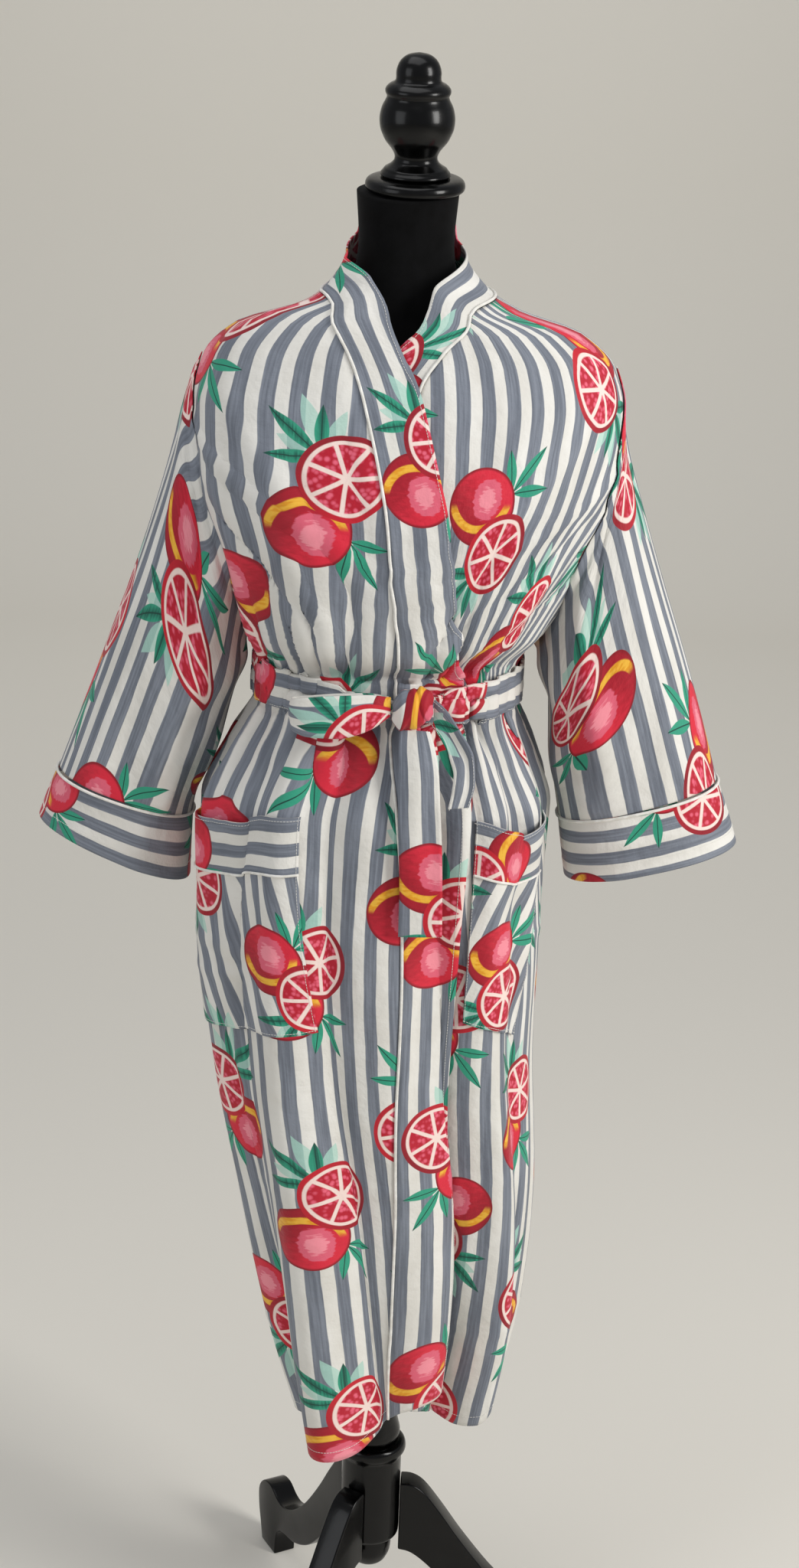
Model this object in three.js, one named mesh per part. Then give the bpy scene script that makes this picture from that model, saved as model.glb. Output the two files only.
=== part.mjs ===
// A long wrap dressing robe of striped, printed cotton with piping, patch pockets and a self belt,
// tied on a limbless dress form with a turned neck cap, a turned post and three cabriole legs.
// Millimetres, +Z up. The origin is on the floor under the middle, and the front faces -Y.
import * as THREE from "three";

// ---------------------------------------------------------------- driving dimensions
const WALL = 2; // thickness of every layer of cloth
const SEAM_GAP = 0.35; // between two pieces that are sewn edge to edge
const OVERLAP_LIFT = 9.5; // how far the top front stands off the front under it
const ON_PANEL = 3; // air between a panel and what is sewn on it
const PIPING_R = 1.5; // radius of the white corded piping
const HEM_Z = 330;
const BELT = { low: 1145, high: 1185, wall: 3, clear: 1.6, overPiping: 4, pipingDeg: 93.4 };
const ARMHOLE = { low: 1208, high: 1478 };
const SECTION_POWER = 2.4; // 2 is an ellipse, larger is squarer
const FORM_X = -5; // the form's axis
const CENTRE = { x: -10.504, y: 4.366 }; // middle of the whole object's plan, moved to the origin

// Cross sections of the worn robe: middle, half width, depth in front and behind.
const RINGS = [
  { z: 330, cx: 20, a: 98, front: 84, back: 112 },
  { z: 470, cx: 12, a: 132, front: 106, back: 120 },
  { z: 615, cx: 0, a: 152, front: 122, back: 126 },
  { z: 780, cx: -20, a: 165, front: 134, back: 132 },
  { z: 920, cx: -27, a: 174, front: 141, back: 134 },
  { z: 1040, cx: -24, a: 172, front: 139, back: 130 },
  { z: 1095, cx: -19, a: 149, front: 124, back: 114 },
  { z: 1142, cx: -16, a: 128, front: 106, back: 98 },
  { z: 1188, cx: -15, a: 128, front: 106, back: 98 },
  { z: 1222, cx: -10, a: 150, front: 133, back: 114 },
  { z: 1300, cx: -4, a: 184, front: 141, back: 114 },
  { z: 1370, cx: -3, a: 209, front: 131, back: 112 },
  { z: 1430, cx: -4, a: 210, front: 110, back: 106 },
  { z: 1478, cx: -5, a: 198, front: 86, back: 92 },
  { z: 1508, cx: -6, a: 166, front: 76, back: 84 },
  { z: 1528, cx: -6, a: 104, front: 69, back: 79 },
  { z: 1550, cx: -9, a: 73, front: 61, back: 72 },
  { z: 1575, cx: -11, a: 57, front: 56, back: 65 },
  { z: 1614, cx: -11.5, a: 53, front: 53, back: 59 },
];

// How far the hem hangs above HEM_Z round the robe: the lapped right front, then everything else.
const HEM_TOP = [
  { deg: 0, up: 26 }, { deg: 30, up: 20 }, { deg: 46, up: 14 }, { deg: 60, up: 15 }, { deg: 72, up: 16 },
  { deg: 80, up: 28 }, { deg: 88, up: 47 }, { deg: 94, up: 60 }, { deg: 100, up: 66 }, { deg: 112, up: 62 },
];
const HEM_UNDER = [
  { deg: 70, up: 66 }, { deg: 100, up: 50 }, { deg: 108, up: 38 }, { deg: 116, up: 27 }, { deg: 124, up: 21 },
  { deg: 132, up: 16 }, { deg: 140, up: 18 }, { deg: 150, up: 34 }, { deg: 160, up: 34 }, { deg: 180, up: 26 },
  { deg: 225, up: 16 }, { deg: 270, up: 10 }, { deg: 320, up: 18 }, { deg: 360, up: 26 },
];
const HEM_BLEND_Z = 560; // above this the hem's height no longer shows
// The side seam on the left is dragged forward by the belt.
const LEFT_SEAM = [
  { z: 330, deg: 180 }, { z: 900, deg: 180 }, { z: 1060, deg: 165 }, { z: 1142, deg: 152 },
  { z: 1188, deg: 176 }, { z: 1208, deg: 180 },
];

// Large folds that run up the cloth. deg: place around the robe (0 at the wearer's right side,
// 90 at the middle front, 180 at the left side, 270 at the middle back) at the hem and at the
// belt; width in degrees; how far it stands out (+) or in (-) at four heights.
const FOLDS = [
  { name: "side ridge", hem: 22, belt: 30, width: 9, atHem: 10, atKnee: 7, atHip: 4, atBust: 0 },
  { name: "pocket trough", hem: 40, belt: 52, width: 8, atHem: -20, atKnee: -8, atHip: -4, atBust: -3 },
  { name: "front ridge", hem: 65, belt: 66, width: 12, atHem: 58, atKnee: 20, atHip: 3, atBust: 3 },
  { name: "seam trough", hem: 82, belt: 80, width: 5, atHem: 0, atKnee: -7, atHip: -6, atBust: -3 },
  { name: "front edge", hem: 96, belt: 93, width: 7, atHem: 6, atKnee: 8, atHip: 4, atBust: 2 },
  { name: "great trough", hem: 119, belt: 108, width: 11, atHem: -42, atKnee: -16, atHip: -9, atBust: -4 },
  { name: "left ridge", hem: 146, belt: 124, width: 9, atHem: 14, atKnee: 10, atHip: 5, atBust: 3 },
  { name: "left trough", hem: 163, belt: 142, width: 7, atHem: -9, atKnee: -8, atHip: -4, atBust: -3 },
  { name: "back ridge 1", hem: 198, belt: 205, width: 9, atHem: 16, atKnee: 11, atHip: 4, atBust: 2 },
  { name: "back trough 1", hem: 220, belt: 228, width: 9, atHem: -22, atKnee: -11, atHip: -5, atBust: -4 },
  { name: "back ridge 2", hem: 243, belt: 246, width: 9, atHem: 20, atKnee: 10, atHip: 5, atBust: 3 },
  { name: "back trough 2", hem: 268, belt: 266, width: 9, atHem: -26, atKnee: -13, atHip: -6, atBust: -3 },
  { name: "back ridge 3", hem: 292, belt: 287, width: 9, atHem: 22, atKnee: 12, atHip: 5, atBust: 4 },
  { name: "back trough 3", hem: 316, belt: 308, width: 9, atHem: -20, atKnee: -10, atHip: -5, atBust: -3 },
  { name: "back ridge 4", hem: 338, belt: 330, width: 8, atHem: 14, atKnee: 8, atHip: 4, atBust: 2 },
];
const FOLD_HEIGHTS = { hem: 330, knee: 700, hip: 1060, belt: 1142, beltTop: 1188, bust: 1260, top: 1440 };

// Half width of the armhole, in degrees around the robe, up its height.
const ARMHOLE_EDGE = [
  { z: 1208, deg: 0 }, { z: 1245, deg: 15 }, { z: 1300, deg: 25 }, { z: 1370, deg: 22 },
  { z: 1435, deg: 13 }, { z: 1478, deg: 0 },
];

// The front bands from hem to middle back. The seam joins the front, the edge is free.
// half: 1 on the front half of the section, -1 on the back half.
const BAND_RIGHT = [
  { seamX: 16, seamZ: 330, edgeX: 62, edgeZ: 330, half: 1 },
  { seamX: 13, seamZ: 500, edgeX: 74, edgeZ: 500, half: 1 },
  { seamX: 9, seamZ: 660, edgeX: 75, edgeZ: 660, half: 1 },
  { seamX: 3, seamZ: 900, edgeX: 67, edgeZ: 900, half: 1 },
  { seamX: -1, seamZ: 1080, edgeX: 61, edgeZ: 1080, half: 1 },
  { seamX: -4, seamZ: 1165, edgeX: 56, edgeZ: 1165, half: 1 },
  { seamX: -10, seamZ: 1260, edgeX: 46, edgeZ: 1260, half: 1 },
  { seamX: -24, seamZ: 1360, edgeX: 31, edgeZ: 1366, half: 1 },
  { seamX: -49, seamZ: 1455, edgeX: 3, edgeZ: 1462, half: 1 },
  { seamX: -68, seamZ: 1500, edgeX: -20, edgeZ: 1508, half: 1 },
  { seamX: -79, seamZ: 1532, edgeX: -40, edgeZ: 1556, half: 1 },
  { seamX: -77, seamZ: 1546, edgeX: -58, edgeZ: 1596, half: -1 },
  { seamX: -61, seamZ: 1547, edgeX: -56, edgeZ: 1606, half: -1 },
  { seamX: -36, seamZ: 1547, edgeX: -36, edgeZ: 1610, half: -1 },
  { seamX: -10, seamZ: 1547, edgeX: -10, edgeZ: 1612, half: -1 },
];
const BAND_LEFT = [
  { seamX: 14, seamZ: 330, edgeX: -34, edgeZ: 330, half: 1 },
  { seamX: 2, seamZ: 500, edgeX: -52, edgeZ: 500, half: 1 },
  { seamX: -6, seamZ: 660, edgeX: -68, edgeZ: 660, half: 1 },
  { seamX: -14, seamZ: 900, edgeX: -80, edgeZ: 900, half: 1 },
  { seamX: -14, seamZ: 1080, edgeX: -78, edgeZ: 1080, half: 1 },
  { seamX: -12, seamZ: 1165, edgeX: -72, edgeZ: 1165, half: 1 },
  { seamX: -10, seamZ: 1260, edgeX: -68, edgeZ: 1260, half: 1 },
  { seamX: -4, seamZ: 1370, edgeX: -60, edgeZ: 1374, half: 1 },
  { seamX: 4, seamZ: 1450, edgeX: -40, edgeZ: 1452, half: 1 },
  { seamX: 26, seamZ: 1490, edgeX: -16, edgeZ: 1494, half: 1 },
  { seamX: 56, seamZ: 1532, edgeX: 16, edgeZ: 1550, half: 1 },
  { seamX: 57, seamZ: 1546, edgeX: 36, edgeZ: 1592, half: -1 },
  { seamX: 40, seamZ: 1547, edgeX: 34, edgeZ: 1605, half: -1 },
  { seamX: 15, seamZ: 1547, edgeX: 14, edgeZ: 1610, half: -1 },
  { seamX: -10, seamZ: 1547, edgeX: -10, edgeZ: 1612, half: -1 },
];

// Sleeve sections from the armhole to the wrist: outer and inner point of each, depth each way.
const SLEEVE_RIGHT = [
  { outX: -203, outZ: 1478, inX: -158, inZ: 1208, front: 62, back: 60 },
  { outX: -223, outZ: 1425, inX: -166, inZ: 1168, front: 66, back: 58 },
  { outX: -240, outZ: 1362, inX: -176, inZ: 1130, front: 68, back: 56 },
  { outX: -264, outZ: 1283, inX: -188, inZ: 1092, front: 67, back: 54 },
  { outX: -296, outZ: 1193, inX: -203, inZ: 1052, front: 64, back: 53 },
  { outX: -326, outZ: 1112, inX: -210, inZ: 1030, front: 61, back: 52 },
  { outX: -347, outZ: 1056, inX: -213, inZ: 1014, front: 59, back: 52 },
];
const CUFF_RIGHT = [
  { outX: -347, outZ: 1056, inX: -213, inZ: 1014, front: 59, back: 52 },
  { outX: -357, outZ: 1031, inX: -214, inZ: 978, front: 58, back: 52 },
  { outX: -366, outZ: 1006, inX: -215, inZ: 944, front: 57, back: 52 },
];
const SLEEVE_LEFT = [
  { outX: 193, outZ: 1478, inX: 146, inZ: 1208, front: 62, back: 60 },
  { outX: 207, outZ: 1415, inX: 148, inZ: 1164, front: 66, back: 58 },
  { outX: 227, outZ: 1350, inX: 150, inZ: 1130, front: 68, back: 56 },
  { outX: 252, outZ: 1276, inX: 153, inZ: 1096, front: 68, back: 55 },
  { outX: 284, outZ: 1186, inX: 158, inZ: 1062, front: 66, back: 54 },
  { outX: 306, outZ: 1118, inX: 162, inZ: 1040, front: 64, back: 54 },
  { outX: 322, outZ: 1066, inX: 165, inZ: 1024, front: 62, back: 54 },
];
const CUFF_LEFT = [
  { outX: 322, outZ: 1066, inX: 165, inZ: 1024, front: 62, back: 54 },
  { outX: 334, outZ: 1034, inX: 169, inZ: 992, front: 61, back: 54 },
  { outX: 345, outZ: 1002, inX: 174, inZ: 960, front: 60, back: 54 },
];
const SLEEVE_FOLD = { at: 0.3, width: 0.035, out: 9 }; // ridge down the front of each sleeve

// Patch pockets: place around the robe at mouth and foot, heights, how far the mouth hangs open.
const POCKET_RIGHT = {
  mouthFrom: 14, mouthTo: 69, footFrom: 20, footTo: 76,
  topFrom: 1034, topTo: 1052, band: 55, footZFrom: 812, footZTo: 834, gape: 5,
};
const POCKET_LEFT = {
  mouthFrom: 164, mouthTo: 121, footFrom: 152, footTo: 121,
  topFrom: 1040, topTo: 1050, band: 55, footZFrom: 806, footZTo: 838, gape: 13,
};

// The dress form. tilt is the slope of the top of the neck, down towards the front.
const TORSO = [
  { z: 868, cx: -5, a: 128, front: 84, back: 90 }, { z: 872, cx: -5, a: 138, front: 93, back: 98 },
  { z: 960, cx: -5, a: 146, front: 102, back: 104 }, { z: 1060, cx: -5, a: 130, front: 92, back: 92 },
  { z: 1165, cx: -5, a: 106, front: 82, back: 76 }, { z: 1260, cx: -5, a: 120, front: 98, back: 86 },
  { z: 1340, cx: -5, a: 136, front: 116, back: 92 }, { z: 1420, cx: -5, a: 152, front: 92, back: 90 },
  { z: 1468, cx: -6, a: 158, front: 66, back: 72 }, { z: 1496, cx: -8, a: 132, front: 56, back: 62 },
  { z: 1516, cx: -10, a: 84, front: 50, back: 56 }, { z: 1545, cx: -11, a: 54, front: 47, back: 50 },
  { z: 1590, cx: -11.5, a: 46, front: 43, back: 45 }, { z: 1636, cx: -11.5, a: 49, front: 47, back: 48 },
];
const NECK_TILT = THREE.MathUtils.degToRad(10);
const NECK_TOP_Z = 1636;
const POST_PROFILE = [[0, 290.4], [29, 290.4], [31, 300], [27, 316], [24, 350], [22, 372], [21, 380],
  [27, 384], [31, 400], [30, 430], [24, 470], [19, 520], [19, 860], [34, 862], [34, 867.6], [0, 867.6]];
const HUB_PROFILE = [[0, 129], [10, 130], [19, 136], [24, 147], [25, 158], [23, 166], [32, 170],
  [33, 176], [33, 272], [37, 276], [38, 281], [36, 288], [30, 290], [0, 290]];
const LEG = { thick: 27, gap: 0.4, azimuths: [-2, 118, 238], footFrom: 221, footTo: 259 };
const LEG_TOP = [[33, 238], [46, 237], [60, 228], [80, 202], [105, 166], [140, 122], [172, 93],
  [198, 80], [216, 80], [236, 88], [256, 84], [270, 68], [270, 44], [264, 20], [259, 0]];
const LEG_UNDER = [[221, 0], [219, 24], [212, 38], [196, 44], [166, 50], [130, 70], [96, 104],
  [68, 134], [48, 150], [33, 154]];
const PLATE_PROFILE = [[0, 0], [44, 0], [47, 2], [48, 5], [47.5, 9], [45, 12], [38, 13.5], [0, 13.5]];
const FINIAL_PROFILE = [[0, 0], [33, 0], [34, 3], [31, 6], [30, 8], [26, 10], [21, 14], [20, 19],
  [23, 25], [30, 33], [35, 44], [36, 54], [34, 64], [30, 71], [29, 74], [31, 77], [31, 81], [27, 85],
  [22, 87], [21, 90], [21.5, 97], [18, 106], [11, 111.5], [0, 113.5]];

// ---------------------------------------------------------------- curves from the tables
// Smooth value of a column, with no overshoot between rows.
function along(table, column, at, key = "z") {
  const n = table.length;
  if (at <= table[0][key]) return table[0][column];
  if (at >= table[n - 1][key]) return table[n - 1][column];
  let i = 0;
  while (table[i + 1][key] < at) i++;
  const slope = (k) => (table[k + 1][column] - table[k][column]) / (table[k + 1][key] - table[k][key]);
  const tangent = (k) => {
    if (k === 0) return slope(0);
    if (k === n - 1) return slope(n - 2);
    const [p, q] = [slope(k - 1), slope(k)];
    return p * q <= 0 ? 0 : (2 * p * q) / (p + q);
  };
  const h = table[i + 1][key] - table[i][key];
  const t = (at - table[i][key]) / h;
  const [y0, y1] = [table[i][column], table[i + 1][column]];
  return (2 * t ** 3 - 3 * t ** 2 + 1) * y0 + (t ** 3 - 2 * t ** 2 + t) * h * tangent(i)
    + (3 * t ** 2 - 2 * t ** 3) * y1 + (t ** 3 - t ** 2) * h * tangent(i + 1);
}
const smooth = (from, to, x) => THREE.MathUtils.smoothstep((x - from) / (to - from), 0, 1);
const rad = (deg) => THREE.MathUtils.degToRad(deg);
const signedPower = (x, p) => Math.sign(x) * Math.abs(x) ** p;

// ---------------------------------------------------------------- the worn surface
function foldOffset(deg, z) {
  const H = FOLD_HEIGHTS;
  let out = 0;
  for (const f of FOLDS) {
    const place = f.hem + (f.belt - f.hem) * smooth(H.hem, H.belt, z);
    const size = along([
      { z: H.hem, d: f.atHem }, { z: H.knee, d: f.atKnee }, { z: H.hip, d: f.atHip },
      { z: H.belt, d: 0 }, { z: H.beltTop, d: 0 }, { z: H.bust, d: f.atBust }, { z: H.top, d: 0 },
    ], "d", z);
    const away = (((deg - place) % 360) + 540) % 360 - 180;
    out += size * Math.exp(-((away / f.width) ** 2));
  }
  return out;
}
function basePoint(deg, z) {
  const [cx, a] = [along(RINGS, "cx", z), along(RINGS, "a", z)];
  const [c, s] = [Math.cos(rad(deg)), Math.sin(rad(deg))];
  const depth = s >= 0 ? along(RINGS, "front", z) : along(RINGS, "back", z);
  const p = 2 / SECTION_POWER;
  const out = foldOffset(deg, z);
  return new THREE.Vector3(
    cx - a * signedPower(c, p) - out * c, -depth * signedPower(s, p) - out * s, z,
  );
}
function baseNormal(deg, z) {
  const [d, h] = [0.5, 1.5];
  const across = basePoint(deg + d, z).sub(basePoint(deg - d, z));
  const up = basePoint(deg, z + h).sub(basePoint(deg, z - h));
  return across.cross(up).normalize();
}
function wornPoint(deg, z, lift) {
  return basePoint(deg, z).addScaledVector(baseNormal(deg, z), lift);
}
// Angle around the robe of the point at x on the front (half 1) or back (half -1) of a section.
function angleAt(x, z, half) {
  const c = THREE.MathUtils.clamp((along(RINGS, "cx", z) - x) / along(RINGS, "a", z), -1, 1);
  return half * THREE.MathUtils.radToDeg(Math.acos(signedPower(c, SECTION_POWER / 2)));
}
// The top front stands off the under one over their overlap.
const topLift = (deg) => OVERLAP_LIFT * smooth(14, 38, deg);
const underLift = () => 0;

// The height of a row of cloth at an angle, once the uneven hem is allowed for.
const hung = (hem) => (deg, z) => z + along(hem, "up", deg, "deg") * (1 - smooth(HEM_Z, HEM_BLEND_Z, z));
const hungTop = hung(HEM_TOP);
const hungUnder = hung(HEM_UNDER);

// ---------------------------------------------------------------- solids from grids of points
function solidFrom(points, faces) {
  const position = new Float32Array(points.flatMap((p) => [p.x, p.y, p.z]));
  let volume = 0;
  for (const [i, j, k] of faces) {
    volume += points[i].dot(new THREE.Vector3().crossVectors(points[j], points[k]));
  }
  const index = faces.flatMap(([i, j, k]) => (volume > 0 ? [i, j, k] : [i, k, j]));
  const geometry = new THREE.BufferGeometry();
  geometry.setAttribute("position", new THREE.BufferAttribute(position, 3));
  geometry.setIndex(index);
  geometry.computeVertexNormals();
  return geometry;
}
// Cloth of one wall: inner and outer grids of rows, with their rims closed.
function clothSolid(inner, outer, wraps) {
  const [rows, columns] = [inner.length, inner[0].length];
  const points = [...inner.flat(), ...outer.flat()];
  const at = (side, r, c) => side * rows * columns + r * columns + (c % columns);
  const faces = [];
  const quad = (a, b, c, d) => {
    const short = points[a].distanceTo(points[c]) <= points[b].distanceTo(points[d]);
    if (short) faces.push([a, b, c], [a, c, d]);
    else faces.push([a, b, d], [b, c, d]);
  };
  for (let r = 0; r < rows - 1; r++) {
    for (let c = 0; c < (wraps ? columns : columns - 1); c++) {
      quad(at(0, r, c), at(0, r + 1, c), at(0, r + 1, c + 1), at(0, r, c + 1));
      quad(at(1, r, c), at(1, r, c + 1), at(1, r + 1, c + 1), at(1, r + 1, c));
    }
    if (!wraps) {
      quad(at(0, r, 0), at(1, r, 0), at(1, r + 1, 0), at(0, r + 1, 0));
      const e = columns - 1;
      quad(at(0, r, e), at(0, r + 1, e), at(1, r + 1, e), at(1, r, e));
    }
  }
  for (let c = 0; c < (wraps ? columns : columns - 1); c++) {
    const e = rows - 1;
    quad(at(0, 0, c), at(0, 0, c + 1), at(1, 0, c + 1), at(1, 0, c));
    quad(at(0, e, c), at(1, e, c), at(1, e, c + 1), at(0, e, c + 1));
  }
  return solidFrom(points, faces);
}
// A corded edge: a many-sided tube through points, closed on itself or capped.
function cordSolid(path, radius, closed, sides = 6) {
  const n = path.length;
  const points = [];
  const faces = [];
  const up = new THREE.Vector3(0, -1, 0.2).normalize();
  path.forEach((p, i) => {
    const before = path[closed ? (i + n - 1) % n : Math.max(i - 1, 0)];
    const after = path[closed ? (i + 1) % n : Math.min(i + 1, n - 1)];
    const t = after.clone().sub(before).normalize();
    const guide = p.out ?? up;
    const b = new THREE.Vector3().crossVectors(t, guide).normalize();
    const m = new THREE.Vector3().crossVectors(b, t);
    for (let k = 0; k < sides; k++) {
      const w = (2 * Math.PI * (k + 0.5)) / sides;
      points.push(p.clone().addScaledVector(b, radius * Math.cos(w)).addScaledVector(m, radius * Math.sin(w)));
    }
  });
  for (let i = 0; i < (closed ? n : n - 1); i++) {
    for (let k = 0; k < sides; k++) {
      const [a, b] = [i * sides + k, i * sides + ((k + 1) % sides)];
      const [c, d] = [((i + 1) % n) * sides + k, ((i + 1) % n) * sides + ((k + 1) % sides)];
      faces.push([a, b, d], [a, d, c]);
    }
  }
  if (!closed) {
    for (let k = 1; k < sides - 1; k++) {
      faces.push([0, k + 1, k], [(n - 1) * sides, (n - 1) * sides + k, (n - 1) * sides + k + 1]);
    }
  }
  return solidFrom(points, faces);
}

const robe = new THREE.Group();
const cotton = new THREE.MeshStandardMaterial({ color: 0xb9bcbe, roughness: 0.75, metalness: 0 });
const whiteCotton = new THREE.MeshStandardMaterial({ color: 0xece9e2, roughness: 0.7, metalness: 0 });
const jersey = new THREE.MeshStandardMaterial({ color: 0x131416, roughness: 0.85, metalness: 0 });
const blackPaint = new THREE.MeshStandardMaterial({ color: 0x0d0d0e, roughness: 0.25, metalness: 0 });
function add(name, geometry, material) {
  const mesh = new THREE.Mesh(geometry, material);
  mesh.name = name;
  robe.add(mesh);
  return mesh;
}

// ---------------------------------------------------------------- bands, fronts and back
// Rows of a band as angles and heights, from its table, with n even steps along it.
function bandRows(table, steps, mirrored) {
  const rows = table.map((r, i) => {
    const turn = (x, z) => {
      const deg = angleAt(x, z, 1);
      if (r.half === 1) return deg;
      return mirrored ? 360 - deg : -deg;
    };
    return {
      i, seamDeg: turn(r.seamX, r.seamZ), seamZ: r.seamZ, edgeDeg: turn(r.edgeX, r.edgeZ), edgeZ: r.edgeZ,
    };
  });
  const pick = (column, t) => along(rows, column, t, "i");
  return steps.map((t) => ({
    seamDeg: pick("seamDeg", t), seamZ: pick("seamZ", t), edgeDeg: pick("edgeDeg", t), edgeZ: pick("edgeZ", t),
  }));
}
// Where along a band's table its seam is at a height, on the front.
function bandStepAt(table, z) {
  let [low, high] = [0, table.findIndex((r) => r.half === -1) - 1];
  const rows = table.map((r, i) => ({ i, z: r.seamZ }));
  for (let k = 0; k < 40; k++) {
    const mid = (low + high) / 2;
    if (along(rows, "z", mid, "i") < z) low = mid;
    else high = mid;
  }
  return (low + high) / 2;
}
const PANEL_ROWS = [330, 385, 445, 510, 580, 655, 735, 815, 895, 965, 1020, 1062, 1100, 1142, 1188,
  1208, 1234, 1266, 1300, 1335, 1370, 1404, 1436, 1460, 1478, 1500, 1518, 1530];

const leftSeam = (z) => (z < ARMHOLE.low ? along(LEFT_SEAM, "deg", z) : 180);
const topmost = PANEL_ROWS[PANEL_ROWS.length - 1];
// Height of the neck's seam, where the bands join the back and the shoulder ends of the fronts.
function neckHeight(deg) {
  const turn = deg > 270 ? deg - 360 : deg;
  const [table, mirrored] = turn < 90 ? [BAND_RIGHT, false] : [BAND_LEFT, true];
  const steps = bandSteps(table).slice(PANEL_ROWS.length - 1);
  const seam = bandRows(table, steps, mirrored).map((r) => ({ deg: r.seamDeg, z: r.seamZ }));
  return along(seam.sort((p, q) => p.deg - q.deg), "z", turn, "deg") - SEAM_GAP * 3;
}

function buildFront(side, table, lift, hang) {
  const mirrored = side === "left";
  const steps = PANEL_ROWS.map((z) => bandStepAt(table, z));
  const seams = bandRows(table, steps, mirrored);
  const columns = 15;
  const grids = [[], []];
  PANEL_ROWS.forEach((z, r) => {
    const hole = along(ARMHOLE_EDGE, "deg", z) * (z > ARMHOLE.low && z < ARMHOLE.high ? 1 : 0);
    const a = along(RINGS, "a", z);
    const gap = THREE.MathUtils.radToDeg(SEAM_GAP / a);
    const from = mirrored ? leftSeam(z) - hole - gap : hole + gap;
    const seamTurn = THREE.MathUtils.radToDeg(SEAM_GAP / along(RINGS, "front", z)) * (mirrored ? -1 : 1);
    const to = seams[r].seamDeg - seamTurn;
    for (const side of [0, 1]) {
      grids[side].push([...Array(columns + 1).keys()].map((c) => {
        const deg = from + ((to - from) * c) / columns;
        return wornPoint(deg, z === topmost ? neckHeight(deg) : hang(deg, z), lift(deg) + side * WALL);
      }));
    }
  });
  add(`front_${side}`, clothSolid(grids[0], grids[1], false), cotton);
}

function bandSteps(table) {
  const steps = PANEL_ROWS.map((z) => bandStepAt(table, z));
  const last = table.length - 1;
  const first = steps[steps.length - 1];
  const count = 9;
  for (let k = 1; k <= count; k++) steps.push(first + ((last - first) * k) / count);
  return steps;
}
buildFront("right", BAND_RIGHT, topLift, hungTop);
buildFront("left", BAND_LEFT, underLift, hungUnder);
function buildBand(side, table, lift, hang) {
  const mirrored = side === "left";
  const rows = bandRows(table, bandSteps(table), mirrored);
  const end = rows.length - 1;
  const grids = [[], []];
  const cord = [];
  rows.forEach((row, r) => {
    const centreBack = r === end ? THREE.MathUtils.radToDeg(SEAM_GAP / 70) * (mirrored ? -1 : 1) : 0;
    for (const side of [0, 1]) {
      grids[side].push([0, 0.25, 0.5, 0.75, 1].map((t) => {
        const deg = row.seamDeg + (row.edgeDeg - row.seamDeg) * t + centreBack;
        const z = row.seamZ + (row.edgeZ - row.seamZ) * t;
        return wornPoint(deg, hang(deg, z), lift(deg) + side * WALL);
      }));
    }
    const deg = row.seamDeg + centreBack * 2;
    const p = wornPoint(deg, hang(deg, row.seamZ), lift(deg) + WALL + 0.5 + PIPING_R);
    p.out = baseNormal(deg, row.seamZ);
    cord.push(p);
  });
  add(`band_${side}`, clothSolid(grids[0], grids[1], false), cotton);
  add(`band_piping_${side}`, cordSolid(cord, PIPING_R, false), whiteCotton);
}
buildBand("right", BAND_RIGHT, topLift, hungTop);
buildBand("left", BAND_LEFT, underLift, hungUnder);

function buildBack() {
  const columns = 22;
  const grids = [[], []];
  PANEL_ROWS.forEach((z) => {
    const hole = along(ARMHOLE_EDGE, "deg", z) * (z > ARMHOLE.low && z < ARMHOLE.high ? 1 : 0);
    const gap = THREE.MathUtils.radToDeg(SEAM_GAP / along(RINGS, "a", z));
    const from = leftSeam(z) + hole + gap;
    const to = 360 - hole - gap;
    for (const side of [0, 1]) {
      grids[side].push([...Array(columns + 1).keys()].map((c) => {
        const deg = from + ((to - from) * c) / columns;
        return wornPoint(deg, z === topmost ? neckHeight(deg) : hungUnder(deg, z), side * WALL);
      }));
    }
  });
  add("back", clothSolid(grids[0], grids[1], false), cotton);
}
buildBack();

// ---------------------------------------------------------------- sleeves and cuffs
function armholePoint(turn, mirrored) {
  // turn 0 is the shoulder, 0.5 the underarm; the front is between them.
  const mid = (ARMHOLE.low + ARMHOLE.high) / 2;
  const half = (ARMHOLE.high - ARMHOLE.low) / 2;
  const z = mid + half * Math.cos(2 * Math.PI * turn);
  const hole = along(ARMHOLE_EDGE, "deg", z) * (turn < 0.5 ? 1 : -1);
  const deg = mirrored ? 180 - hole : hole;
  return { deg, z };
}
function sleevePoint(table, row, turn, lift) {
  const s = table[0].outX < 0 ? -1 : 1;
  const pick = (column) => along(table.map((r, i) => ({ ...r, i })), column, row, "i");
  const mid = new THREE.Vector3((pick("outX") + pick("inX")) / 2, 0, (pick("outZ") + pick("inZ")) / 2);
  const half = new THREE.Vector3((pick("outX") - pick("inX")) / 2, 0, (pick("outZ") - pick("inZ")) / 2);
  const w = 2 * Math.PI * turn;
  const depth = turn < 0.5 ? pick("front") : pick("back");
  const p = mid.clone().addScaledVector(half, signedPower(Math.cos(w), 0.86));
  p.y -= depth * signedPower(Math.sin(w), 0.86);
  const f = SLEEVE_FOLD;
  const out = f.out * smooth(0, 2, row) * Math.exp(-(((turn - f.at) / f.width) ** 2));
  p.y -= out;
  p.x -= s * out * 0.4;
  if (lift) {
    const e = 0.004;
    const across = sleevePoint(table, row, turn + e, 0).sub(sleevePoint(table, row, turn - e, 0));
    const on = sleevePoint(table, Math.min(row + 0.1, table.length - 1), turn, 0)
      .sub(sleevePoint(table, Math.max(row - 0.1, 0), turn, 0));
    p.addScaledVector(across.cross(on).normalize(), s * lift);
  }
  return p;
}
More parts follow.
